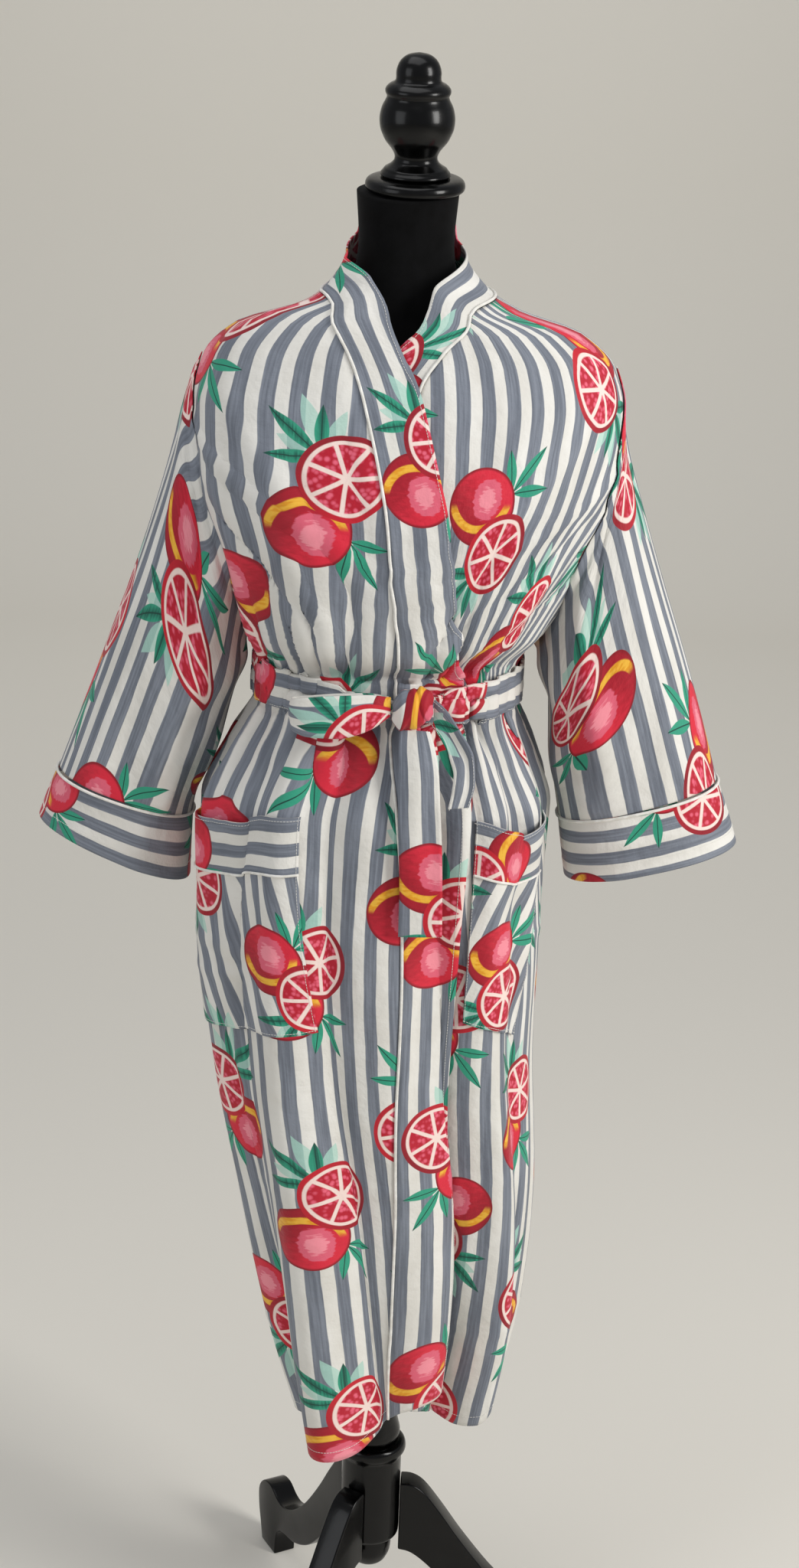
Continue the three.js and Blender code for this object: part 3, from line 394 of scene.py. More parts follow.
class Wire:
    """A socket of a shader tree, so that shader maths reads as plain Python."""

    def __init__(self, tree, socket):
        self.tree, self.socket = tree, socket

    def node(self, kind, settings=(), inputs=(), out=0):
        """Any node: its type, its settings first, then its sockets' values and links."""
        made = self.tree.nodes.new(kind)
        for key, value in dict(settings).items():
            setattr(made, key, value)
        for key, value in dict(inputs).items():
            if isinstance(value, Wire):
                self.tree.links.new(value.socket, made.inputs[key])
            else:
                made.inputs[key].default_value = value
        return Wire(self.tree, made.outputs[out])

    def maths(self, operation, *others):
        return self.node("ShaderNodeMath", {"operation": operation}, dict(enumerate((self, *others))))

    def __add__(self, other):
        return self.maths("ADD", other)

    def __sub__(self, other):
        return self.maths("SUBTRACT", other)

    def __mul__(self, other):
        return self.maths("MULTIPLY", other)

    def __truediv__(self, other):
        return self.maths("DIVIDE", other)

    def __radd__(self, other):
        return self.maths("ADD", other)

    def __rmul__(self, other):
        return self.maths("MULTIPLY", other)

    def __rsub__(self, other):
        return (self * -1).maths("ADD", other)

    def __abs__(self):
        return self.maths("ABSOLUTE")

    def ramp(self, low, high):
        """0 below low and 1 above high, smoothly between."""
        return self.node(
            "ShaderNodeMapRange", {"interpolation_type": "SMOOTHSTEP"},
            {0: self, 1: low, 2: high, 3: 0.0, 4: 1.0})

    def mix(self, a, b):
        """Colour a where this is 0, colour b where it is 1."""
        return self.node("ShaderNodeMix", {"data_type": "RGBA"}, {0: self, 6: a, 7: b}, out=2)

    def vector(self, x, y, z=0.0):
        return self.node("ShaderNodeCombineXYZ", (), {0: x, 1: y, 2: z})

    def noise(self, scale, detail=2.0, out=0):
        inputs = {"Vector": self, "Scale": scale, "Detail": detail}
        return self.node("ShaderNodeTexNoise", (), inputs, out=out)


def finish(name, roughness, **constants):
    """A new material: the material, its tree and its Principled node."""
    made = bpy.data.materials.new(name)
    made.use_nodes = True
    tree = made.node_tree
    shader = tree.nodes["Principled BSDF"]
    shader.inputs["Roughness"].default_value = roughness
    for key, value in constants.items():
        shader.inputs[key.replace("_", " ")].default_value = value
    return made, tree, shader


def relief(wire, shader, height, distance, strength=1.0, over=None):
    """Bump from a height, on top of another bump if one is given."""
    inputs = {"Strength": strength, "Distance": distance, "Height": height}
    if over is not None:
        inputs["Normal"] = over
    bump = wire.node("ShaderNodeBump", (), inputs)
    wire.tree.links.new(bump.socket, shader.inputs["Normal"])
    return bump


# The printed cotton: painted grey stripes on white, with round fruit, cut slices and leaf sprays
# thrown over them in a half-drop repeat. Cloth coordinates are metres, stripes running along v.
STRIPE = 0.024
CELL_WIDE, CELL_TALL = 0.12, 0.25
YARN = 0.0009
printed_cotton, tree, shader = finish(
    "printed cotton", 0.62, Sheen_Weight=0.12, Sheen_Roughness=0.5, Specular_IOR_Level=0.35)
start = Wire(tree, tree.nodes.new("ShaderNodeUVMap").outputs[0])
start.socket.node.uv_map = "cloth"
parts = start.node("ShaderNodeSeparateXYZ", (), {0: start})
u = Wire(tree, parts.socket.node.outputs[0])
v = Wire(tree, parts.socket.node.outputs[1])
wobble = start.vector(u * 60, v * 22).noise(1.0, 3.0)
brushed = start.vector(u * 420, v * 14).noise(1.0, 3.0)
clouds = start.vector(u * 26, v * 9).noise(1.0, 3.0)
across = ((u / STRIPE) + (wobble - 0.5) * 0.10).maths("FRACT")
grey = abs(across - 0.5).ramp(0.285, 0.255)
stripe_grey = (brushed * 0.7 + clouds * 0.3).ramp(0.36, 0.66).mix(srgb("686e79"), srgb("838994"))
ground = clouds.ramp(0.3, 0.7).mix(srgb("dad7cf"), srgb("e8e6e0"))
colour = grey.mix(ground, stripe_grey)

column = (u / CELL_WIDE).maths("FLOOR")
drop = column.maths("FLOORED_MODULO", 2.0) * (CELL_TALL / 2)
row = ((v + drop) / CELL_TALL).maths("FLOOR")
chance_wire = start.node(
    "ShaderNodeTexWhiteNoise", {"noise_dimensions": "2D"}, {"Vector": start.vector(column, row)}, out=1)
luck = start.node("ShaderNodeSeparateXYZ", (), {0: chance_wire})
luck_a, luck_b, luck_c = (Wire(tree, luck.socket.node.outputs[i]) for i in range(3))
flip_x = luck_a.ramp(0.499, 0.501) * 2 - 1
flip_y = luck_b.ramp(0.499, 0.501) * 2 - 1
x = (u - (column + 0.5) * CELL_WIDE) * flip_x + (luck_c - 0.5) * 0.006
y = (v + drop - (row + 0.5) * CELL_TALL) * flip_y + (luck_c - 0.5) * 0.03


def leaf_spray(x, y, turn, length, slim):
    """Three pointed leaves from one stalk: (cover, place along the leaf, distance from its rib)."""
    away = (x * x + y * y).maths("SQRT")
    bearing = y.maths("ARCTAN2", x) - turn
    bearing = bearing.node("ShaderNodeMath", {"operation": "WRAP"}, {0: bearing, 1: math.pi, 2: -math.pi})
    step = math.radians(46)
    leaf = bearing.node("ShaderNodeMath", {"operation": "WRAP"}, {0: bearing, 1: step / 2, 2: -step / 2})
    reach = length - abs(bearing - leaf) * length * 0.3
    t = (away / reach).maths("MINIMUM", 1.0)
    half = (t * math.pi).maths("SINE") * slim
    side = abs(leaf) * away
    near = abs(bearing).ramp(step * 1.52, step * 1.48)
    return (half - side).ramp(0.0, 0.0007) * near, t, side


def slice_of_fruit(x, y, radius, turn):
    """A cut round fruit: (cover, colour)."""
    bearing = y.maths("ARCTAN2", x) + turn
    far = (x * x + y * y).maths("SQRT") / radius
    far = far * (1 + (bearing * 3).maths("SINE") * 0.02)
    wedge = bearing.node(
        "ShaderNodeMath", {"operation": "WRAP"}, {0: bearing, 1: math.pi / 7, 2: -math.pi / 7})
    skin = abs(wedge) * far - 0.035
    flesh = skin.ramp(0.0, 0.03) * far.ramp(0.80, 0.765) * far.ramp(0.10, 0.15)
    place = {"Vector": start.vector(u, v), "Scale": 190.0}
    seeds = start.node("ShaderNodeTexVoronoi", {"feature": "F1"}, place)
    juice = seeds.ramp(0.15, 0.62).mix(srgb("e8647c"), srgb("b80f2b"))
    inner = flesh.mix(srgb("f3dcd3"), juice)
    rind = (bearing.maths("SINE") * 0.5 + 0.5).mix(srgb("8e0d20"), srgb("c5182b"))
    return far.ramp(1.0, 0.985), far.ramp(0.855, 0.885).mix(inner, rind)


def whole_fruit(x, y, radius):
    """A whole round fruit with a pale cheek and a gold underside: (cover, colour)."""
    far = (x * x + y * y).maths("SQRT") / radius
    streak = start.vector(x * 90, y * 300).noise(1.0, 2.0)
    body = (streak * 0.5 + (x + y) * 9 + 0.25).ramp(0.2, 0.8).mix(srgb("a50d24"), srgb("d8223a"))
    cheek_x, cheek_y = x - radius * 0.12, y - radius * 0.18
    cheek = (cheek_x * cheek_x * 1.5 + cheek_y * cheek_y).maths("SQRT") / radius
    body = (cheek + (streak - 0.5) * 0.25).ramp(0.56, 0.50).mix(body, srgb("de6076"))
    body = (cheek + (streak - 0.5) * 0.5).ramp(0.34, 0.24).mix(body, srgb("f08f9c"))
    low_x, low_y = x + radius * 0.06, y - radius * 0.30
    crescent = (low_x * low_x + low_y * low_y).maths("SQRT") / radius
    gold = crescent.ramp(0.76, 0.79) * crescent.ramp(1.0, 0.96) * (y / radius).ramp(0.1, -0.12)
    body = gold.mix(body, streak.ramp(0.4, 0.6).mix(srgb("e39a1c"), srgb("f1b93c")))
    return far.ramp(1.0, 0.985), far.ramp(0.9, 0.97).mix(body, srgb("8d0b1e"))


mint, _, _ = leaf_spray(x + 0.004, y + 0.042, -1.95, 0.056, 0.0078)
colour = (mint * 0.75).mix(colour, srgb("a9d5c6"))
teal, _, off_rib = leaf_spray(x + 0.008, y + 0.040, -2.35, 0.060, 0.0062)
leaf_tone = (brushed + off_rib * 60).ramp(0.45, 0.85).mix(srgb("12604f"), srgb("2f9a7c"))
leaf_tone = off_rib.ramp(0.0007, 0.0003).mix(leaf_tone, srgb("0c4238"))
colour = teal.mix(colour, leaf_tone)
teal, _, off_rib = leaf_spray(x - 0.010, y - 0.034, 0.95, 0.054, 0.0058)
colour = teal.mix(colour, off_rib.ramp(0.0007, 0.0003).mix(leaf_tone, srgb("0c4238")))
cover, fruit = whole_fruit(x + 0.020, y - 0.022, 0.036)
colour = cover.mix(colour, fruit)
cover, fruit = slice_of_fruit(x - 0.012, y + 0.022, 0.0385, luck_c * 5)
colour = cover.mix(colour, fruit)
tree.links.new(colour.socket, shader.inputs["Base Color"])
crumple = start.vector(u, v).noise(34.0, 4.0)
weave = (u * 2 * math.pi / YARN).maths("SINE") * (v * 2 * math.pi / YARN).maths("SINE")
rumpled = relief(start, shader, crumple, 0.0042, 0.85)
slubs = start.vector(u * 900, v * 120).noise(1.0, 1.0) + start.vector(u * 120, v * 900).noise(1.0, 1.0)
relief(start, shader, slubs + weave * 0.2, 0.00012, 0.6, over=rumpled)
tree.links.new((crumple * 0.12 + grey * -0.03 + 0.58).socket, shader.inputs["Roughness"])

# Shared edges of the body: how the left side seam is dragged forward, and the neck's seam line.
LEFT_SEAM = columns("z deg", [
    (0.33, 180),
    (0.9, 180),
    (1.06, 165),
    (1.142, 152),
    (1.188, 176),
    (1.208, 180),
])
HEM_TOP = columns("deg up", [
    (0, 0.026),
    (30, 0.02),
    (46, 0.014),
    (60, 0.015),
    (72, 0.016),
    (80, 0.028),
    (88, 0.047),
    (94, 0.06),
    (100, 0.066),
    (112, 0.062),
])
HEM_UNDER = columns("deg up", [
    (70, 0.066),
    (100, 0.05),
    (108, 0.038),
    (116, 0.027),
    (124, 0.021),
    (132, 0.016),
    (140, 0.018),
    (150, 0.034),
    (160, 0.034),
    (180, 0.026),
    (225, 0.016),
    (270, 0.01),
    (320, 0.018),
    (360, 0.026),
])
ARMHOLE_EDGE = columns("z deg", [
    (1.208, 0),
    (1.245, 15),
    (1.3, 25),
    (1.37, 22),
    (1.435, 13),
    (1.478, 0),
])
BAND_RIGHT = columns("seamX seamZ edgeX edgeZ half", [
    (0.016, 0.33, 0.062, 0.33, 1),
    (0.013, 0.5, 0.074, 0.5, 1),
    (0.009, 0.66, 0.075, 0.66, 1),
    (0.003, 0.9, 0.067, 0.9, 1),
    (-0.001, 1.08, 0.061, 1.08, 1),
    (-0.004, 1.165, 0.056, 1.165, 1),
    (-0.01, 1.26, 0.046, 1.26, 1),
    (-0.024, 1.36, 0.031, 1.366, 1),
    (-0.049, 1.455, 0.003, 1.462, 1),
    (-0.068, 1.5, -0.02, 1.508, 1),
    (-0.079, 1.532, -0.04, 1.556, 1),
    (-0.077, 1.546, -0.058, 1.596, -1),
    (-0.061, 1.547, -0.056, 1.606, -1),
    (-0.036, 1.547, -0.036, 1.61, -1),
    (-0.01, 1.547, -0.01, 1.612, -1),
])
BAND_LEFT = columns("seamX seamZ edgeX edgeZ half", [
    (0.014, 0.33, -0.034, 0.33, 1),
    (0.002, 0.5, -0.052, 0.5, 1),
    (-0.006, 0.66, -0.068, 0.66, 1),
    (-0.014, 0.9, -0.08, 0.9, 1),
    (-0.014, 1.08, -0.078, 1.08, 1),
    (-0.012, 1.165, -0.072, 1.165, 1),
    (-0.01, 1.26, -0.068, 1.26, 1),
    (-0.004, 1.37, -0.06, 1.374, 1),
    (0.004, 1.45, -0.04, 1.452, 1),
    (0.026, 1.49, -0.016, 1.494, 1),
    (0.056, 1.532, 0.016, 1.55, 1),
    (0.057, 1.546, 0.036, 1.592, -1),
    (0.04, 1.547, 0.034, 1.605, -1),
    (0.015, 1.547, 0.014, 1.61, -1),
    (-0.01, 1.547, -0.01, 1.612, -1),
])


def armhole_half(z):
    return np.where((z > 1.208) & (z < 1.478), along(ARMHOLE_EDGE["z"], ARMHOLE_EDGE["deg"], z), 0.0)


def band_rows(table, steps, mirrored):
    """Angles and heights of a band's seam and free edge, part way along its table."""
    rows, half = np.arange(len(table["half"])), np.array(table["half"])
    made = {}
    for edge in ("seam", "edge"):
        zs = np.array(table[edge + "Z"])
        deg = angle_at(np.array(table[edge + "X"]), zs)
        made[edge] = along(rows, np.where(half == 1, deg, 360 - deg if mirrored else -deg), steps)
        made[edge + "Z"] = along(rows, zs, steps)
    return made


def band_step_at(table, z):
    steps = np.linspace(0, table["half"].index(-1) - 1, 4001)
    return np.interp(z, along(np.arange(len(table["half"])), table["seamZ"], steps), steps)


def neck_line(table, mirrored):
    steps = np.linspace(band_step_at(table, 1.53), len(table["half"]) - 1, 120)
    made = band_rows(table, steps, mirrored)
    order = np.argsort(made["seam"])
    return made["seam"][order], made["seamZ"][order]


neck_right, neck_left = neck_line(BAND_RIGHT, False), neck_line(BAND_LEFT, True)


def neck_height(deg):
    turn = np.where(deg > 270, deg - 360, deg)
    return np.where(turn < 90, np.interp(turn, *neck_right), np.interp(turn, *neck_left)) - SEAM_GAP * 3


def hung(hem, deg, z):
    """The height of a row of cloth at an angle, once the uneven hem is allowed for."""
    return z + along(hem["deg"], hem["up"], deg) * (1 - smooth(HEM, 0.56, z))


DOWN = 206
NECK_FROM, NECK_ROW = 1.514, 1.53


def body_rows(columns_deg, hem):
    """Heights of a panel's grid from the hem up; the topmost rows rise to the neck seam."""
    below = columns_deg[:DOWN]
    plain = hung(hem, below, np.linspace(HEM, NECK_FROM, DOWN)[:, None] + 0 * below)
    rise = np.linspace(0, 1, 7)[1:, None]
    return np.concatenate([plain, NECK_FROM + (neck_height(columns_deg[DOWN:]) - NECK_FROM) * rise])


def left_side(z):
    return np.where(z < 1.208, along(LEFT_SEAM["z"], LEFT_SEAM["deg"], z), 180)


z = np.concatenate([np.linspace(HEM, NECK_FROM, DOWN), np.linspace(NECK_FROM, NECK_ROW, 7)[1:]])
hole, gap = armhole_half(z), np.degrees(SEAM_GAP / ring("a", z))
from_left, to_right = left_side(z) + hole + gap, 360 - hole - gap
deg = from_left[:, None] + (to_right - from_left)[:, None] * np.linspace(0, 1, 201)
high = body_rows(deg, HEM_UNDER)
BASE = 0.0004
back = cloth_piece(
    "robe_back", worn_point(deg, high, np.full(deg.shape, BASE)),
    np.stack([cloth_across(deg, high) + 0.052, high + 0.06], -1), robe_axis)
stands_for(back, "back", printed_cotton)

# ---------------------------------------------------------------- fronts
# The right and left fronts, one piece each from the shoulder to the hem. The right laps over the
# left, so it stands off it where they cross, and hangs from the form's shoulder and the belt.
def top_lift(deg):
    return OVERLAP_LIFT * smooth(14, 38, deg)


def no_lift(deg):
    return 0 * np.asarray(deg, float)


FRONT_HEIGHTS = z
for side, table, lift, hem, mirrored, shift, width in (
    ("right", BAND_RIGHT, top_lift, HEM_TOP, False, (0.066, 0.005), 0.34),
    ("left", BAND_LEFT, no_lift, HEM_UNDER, True, (0.021, 0.152), 0.26),
):
    steps = band_step_at(table, FRONT_HEIGHTS)
    seam = band_rows(table, steps, mirrored)["seam"]
    turn = np.degrees(SEAM_GAP / ring("front", FRONT_HEIGHTS)) * (-1 if mirrored else 1)
    start_deg = left_side(FRONT_HEIGHTS) - hole - gap if mirrored else hole + gap
    deg = start_deg[:, None] + (seam - turn - start_deg)[:, None] * np.linspace(0, 1, 117)
    high = body_rows(deg, hem)
    front = cloth_piece(
        f"robe_front_{side}", worn_point(deg, high, lift(deg) + BASE),
        np.stack([cloth_across(deg, high, mirrored) + shift[0], high + shift[1]], -1), robe_axis)
    stands_for(front, f"front_{side}", printed_cotton)

# ---------------------------------------------------------------- bands and their piping
# Two long doubled strips of the same cotton, one down each front edge, meeting at the middle of
# the back of the neck. A white corded piping is caught in the seam that joins each to its front.
white_cotton, tree, shader = finish("white cotton", 0.7, Sheen_Weight=0.2)
start = Wire(tree, tree.nodes.new("ShaderNodeTexCoord").outputs["Object"])
mottle = start.noise(120.0, 3.0)
tree.links.new(mottle.ramp(0.3, 0.7).mix(srgb("dcd9d0"), srgb("f0eee8")).socket, shader.inputs["Base Color"])
relief(start, shader, start.noise(900.0, 2.0), 0.0003, 0.5)


def corded_edge(name, node, path, radius, closed=False, sides=10):
    """A round cord through points, with its ends closed over."""
    ahead = np.roll(path, -1, 0) - np.roll(path, 1, 0)
    if not closed:
        ahead[0], ahead[-1] = path[1] - path[0], path[-1] - path[-2]
    ahead /= np.linalg.norm(ahead, axis=1, keepdims=True)
    guide = np.array([0.13, -0.94, 0.31])
    across = np.cross(ahead, guide)
    across /= np.linalg.norm(across, axis=1, keepdims=True)
    over = np.cross(across, ahead)
    w = np.linspace(0, 2 * math.pi, sides, endpoint=False)
    points = path[:, None] + radius * (
        across[:, None] * np.cos(w)[None, :, None] + over[:, None] * np.sin(w)[None, :, None])
    n = len(path)
    faces = []
    for i in range(n if closed else n - 1):
        for k in range(sides):
            m = (k + 1) % sides
            j = (i + 1) % n
            faces.append((i * sides + k, j * sides + k, j * sides + m, i * sides + m))
    if not closed:
        faces.append(tuple(range(sides)))
        faces.append(tuple((n - 1) * sides + k for k in reversed(range(sides))))
    obj = mesh_object(name, points.reshape(-1, 3) - PLAN_CENTRE, faces)
    stands_for(obj, node, white_cotton)
    return obj


BAND_WALL = 0.0016
CORD = 0.0015
band_edges = {}
for side, table, lift, hem, mirrored, shift in (
    ("right", BAND_RIGHT, top_lift, HEM_TOP, False, (0.006, 0.088)),
    ("left", BAND_LEFT, no_lift, HEM_UNDER, True, (0.018, 0.02)),
):
    up_front = band_step_at(table, np.linspace(HEM, 1.53, 260))
    last = len(table["half"]) - 1
    steps = np.concatenate([up_front, np.linspace(up_front[-1], last, 90)[1:]])
    made = band_rows(table, steps, mirrored)
    made["seam"][-1] += 0.28 * (-1 if mirrored else 1)
    made["edge"][-1] += 0.28 * (-1 if mirrored else 1)
    t = np.linspace(0, 1, 17)
    deg = made["seam"][:, None] + (made["edge"] - made["seam"])[:, None] * t
    high = hung(hem, deg, made["seamZ"][:, None] + (made["edgeZ"] - made["seamZ"])[:, None] * t)
    points = worn_point(deg, high, lift(deg) + BASE + 0.0002 * np.sin(np.pi * t))
    middle = points[:, 8]
    run = summed(steps_along(middle, 0))
    wide = np.cumsum(steps_along(points, 1), axis=1)
    wide = np.concatenate([np.zeros((len(points), 1)), wide], 1)
    wide *= (0.0596 / np.maximum(wide[:, -1], 0.03))[:, None] ** 0.6
    cloth = np.stack([wide + shift[0], np.repeat(run[:, None] + shift[1], 17, 1)], -1)
    band = cloth_piece(f"robe_band_{side}", points, cloth, robe_axis, wall=BAND_WALL)
    stands_for(band, f"band_{side}", printed_cotton)
    seam_points = worn_point(made["seam"], high[:, 0], lift(made["seam"]) + 0.0026)
    corded_edge(f"robe_band_piping_{side}", f"band_piping_{side}", seam_points, CORD)
    band_edges[side] = worn_point(deg[:, 15], high[:, 15], lift(deg[:, 15]) + BASE + BAND_WALL + ON_TOP)

# ---------------------------------------------------------------- sleeves and cuffs
# Wide straight sleeves, each one piece seamed under the arm, set on at a dropped armhole. A cuff
# with its stripes running round is joined to the end with white corded piping in the seam.
SLEEVE_RIGHT = columns("outX outZ inX inZ front back", [
    (-0.203, 1.478, -0.158, 1.208, 0.062, 0.06),
    (-0.223, 1.425, -0.166, 1.168, 0.066, 0.058),
    (-0.24, 1.362, -0.176, 1.13, 0.068, 0.056),
    (-0.264, 1.283, -0.188, 1.092, 0.067, 0.054),
    (-0.296, 1.193, -0.203, 1.052, 0.064, 0.053),
    (-0.326, 1.112, -0.21, 1.03, 0.061, 0.052),
    (-0.347, 1.056, -0.213, 1.014, 0.059, 0.052),
])
CUFF_RIGHT = columns("outX outZ inX inZ front back", [
    (-0.347, 1.056, -0.213, 1.014, 0.059, 0.052),
    (-0.357, 1.031, -0.214, 0.978, 0.058, 0.052),
    (-0.366, 1.006, -0.215, 0.944, 0.057, 0.052),
])
SLEEVE_LEFT = columns("outX outZ inX inZ front back", [
    (0.193, 1.478, 0.146, 1.208, 0.062, 0.06),
    (0.207, 1.415, 0.148, 1.164, 0.066, 0.058),
    (0.227, 1.35, 0.15, 1.13, 0.068, 0.056),
    (0.252, 1.276, 0.153, 1.096, 0.068, 0.055),
    (0.284, 1.186, 0.158, 1.062, 0.066, 0.054),
    (0.306, 1.118, 0.162, 1.04, 0.064, 0.054),
    (0.322, 1.066, 0.165, 1.024, 0.062, 0.054),
])
CUFF_LEFT = columns("outX outZ inX inZ front back", [
    (0.322, 1.066, 0.165, 1.024, 0.062, 0.054),
    (0.334, 1.034, 0.169, 0.992, 0.061, 0.054),
    (0.345, 1.002, 0.174, 0.96, 0.06, 0.054),
])
SLEEVE_CREASES = columns("turn row width long tilt deep", [
    (0.30, 3.2, 0.030, 2.6, 0.000, 0.0085), (0.16, 2.2, 0.035, 1.3, 0.020, 0.0040),
    (0.42, 1.6, 0.030, 1.0, -0.030, 0.0060), (0.38, 2.6, 0.022, 0.9, -0.040, -0.0050),
    (0.22, 4.6, 0.030, 1.2, 0.020, -0.0040), (0.10, 3.6, 0.030, 1.4, 0.000, 0.0030),
    (0.46, 3.4, 0.030, 1.0, -0.020, 0.0050), (0.35, 5.2, 0.024, 1.2, -0.010, 0.0050),
    (0.25, 1.4, 0.020, 0.8, 0.030, -0.0035), (0.60, 2.0, 0.035, 1.2, 0.030, 0.0060),
    (0.70, 3.4, 0.040, 1.6, 0.000, -0.0060), (0.80, 2.6, 0.035, 1.5, -0.020, 0.0050),
    (0.90, 4.2, 0.035, 1.5, 0.010, 0.0035), (0.55, 4.8, 0.030, 1.2, 0.000, -0.0045),
    (0.66, 5.4, 0.030, 1.0, 0.010, 0.0040), (0.05, 1.2, 0.025, 0.7, 0.020, -0.0022),
    (0.48, 0.8, 0.020, 0.5, 0.000, 0.0050), (0.44, 0.5, 0.012, 0.4, 0.000, -0.0040),
])


def sleeve_grid(table, rows, turns):
    """Points of a sleeve or cuff without its wall, and which way is out of it."""
    n = np.arange(len(table["outX"]))
    row, turn = np.meshgrid(rows, turns, indexing="ij")
    pick = {k: along(n, table[k], row) for k in table}
    w = 2 * np.pi * turn
    c, s = signed_power(np.cos(w), 0.86), signed_power(np.sin(w), 0.86)
    depth = np.where(turn % 1 < 0.5, pick["front"], pick["back"])
    points = np.stack([
        (pick["outX"] + pick["inX"]) / 2 + (pick["outX"] - pick["inX"]) / 2 * c,
        -depth * s,
        (pick["outZ"] + pick["inZ"]) / 2 + (pick["outZ"] - pick["inZ"]) / 2 * c,
    ], -1)
    around = np.roll(points, -1, 1) - np.roll(points, 1, 1)
    along_it = np.gradient(points, axis=0)
    out = np.cross(around, along_it)
    out /= np.maximum(np.linalg.norm(out, axis=-1, keepdims=True), 1e-9)
    middle = points.mean(1, keepdims=True)
    if ((points - middle) * out).sum() < 0:
        out = -out
    return points, out, row, turn


def sleeve_axis(table):
    height = [(a + b) / 2 for a, b in zip(table["outZ"], table["inZ"])]
    place = [(a + b) / 2 for a, b in zip(table["outX"], table["inX"])]
    return lambda p: np.stack([np.interp(p[:, 2], height[::-1], place[::-1]), 0 * p[:, 1], p[:, 2]], -1)


ROUND = 176
turns_round = np.arange(ROUND) / ROUND
cuff_lines = []
for side, table, cuff_table, mirrored, shift in (
    ("right", SLEEVE_RIGHT, CUFF_RIGHT, False, (0.036, 0.095)),
    ("left", SLEEVE_LEFT, CUFF_LEFT, True, (0.112, 0.03)),
):
    rows = np.concatenate([np.linspace(0, 1, 34), np.linspace(1, 5.93, 120)[1:]])
    points, out, row, turn = sleeve_grid(table, rows, turns_round)
    swell = np.zeros(row.shape)
    for i in range(len(SLEEVE_CREASES["turn"])):
        place = SLEEVE_CREASES["turn"][i] + SLEEVE_CREASES["tilt"][i] * (row - SLEEVE_CREASES["row"][i])
        away = ((turn - place + 0.5) % 1 - 0.5) / SLEEVE_CREASES["width"][i]
        deep = SLEEVE_CREASES["deep"][i] * (0.8 if mirrored else 1.0)
        swell += deep * np.exp(-away**2 - ((row - SLEEVE_CREASES["row"][i]) / SLEEVE_CREASES["long"][i]) ** 2)
    swell *= smooth(0, 0.7, row) * (1 - smooth(5.5, 5.93, row) * 0.7)
    height = 1.343 + 0.135 * np.cos(2 * np.pi * turns_round)
    half_hole = armhole_half(height) * np.where(turns_round < 0.5, 1, -1)
    seam = worn_point(180 - half_hole if mirrored else half_hole, height, 0 * height + BASE)
    seam[:, 0] += 0.002 if mirrored else -0.002
    moved = seam - points[0]
    level = np.mean([np.roll(moved, k, 0) for k in range(-13, 14)], axis=0)
    keep, near = (1 - smooth(0, 1.6, row))[..., None], (1 - smooth(0, 0.3, row))[..., None]
    points = points + level[None] * keep + (moved - level)[None] * near + out * (swell + BASE)[..., None]
    down = summed(steps_along(points, 0).mean(1))
    girth = np.linalg.norm(np.roll(points, -1, 1) - points, axis=2)
    around = summed(girth[80:].mean(0))[:-1] * 1.04
    turning = 0.034 * np.sin(np.pi * np.clip(turn / 0.36, 0, 1)) * smooth(0, 1.6, row)
    cloth = pairs(around[None] + turning + shift[0], shift[1] - down[:, None])
    sleeve = cloth_piece(f"robe_sleeve_{side}", points, cloth, sleeve_axis(table), wraps=True)
    stands_for(sleeve, f"sleeve_{side}", printed_cotton)
    girth, length = (float(np.ptp(cloth[..., k])) for k in (0, 1))

    rows = np.linspace(0.012, 2, 30)
    points, out, row, turn = sleeve_grid(cuff_table, rows, turns_round)
    ease = 0.0009 * np.sin(2 * np.pi * turn * 3 + row) + 0.0012 * np.exp(-((turn - 0.3) / 0.03) ** 2)
    points = points + out * (BASE + ease)[..., None]
    down = summed(steps_along(points, 0).mean(1))
    cloth = pairs(down[:, None] + shift[0] * 0.5 + 0.011, around[None] + shift[1])
    cuff = cloth_piece(
        f"robe_cuff_{side}", points, cloth, sleeve_axis(cuff_table), wraps=True, wall=BAND_WALL)
    stands_for(cuff, f"cuff_{side}", printed_cotton)
    depth, girth = (float(np.ptp(cloth[..., k])) for k in (0, 1))
    cuff_lines.append((points + out * (BAND_WALL + ON_TOP))[22])
    cord, out, _, _ = sleeve_grid(cuff_table, np.array([0.0, 0.01]), turns_round)
    piped = (cord + out * 0.0028)[0]
    corded_edge(f"robe_cuff_piping_{side}", f"cuff_piping_{side}", piped, CORD, closed=True)

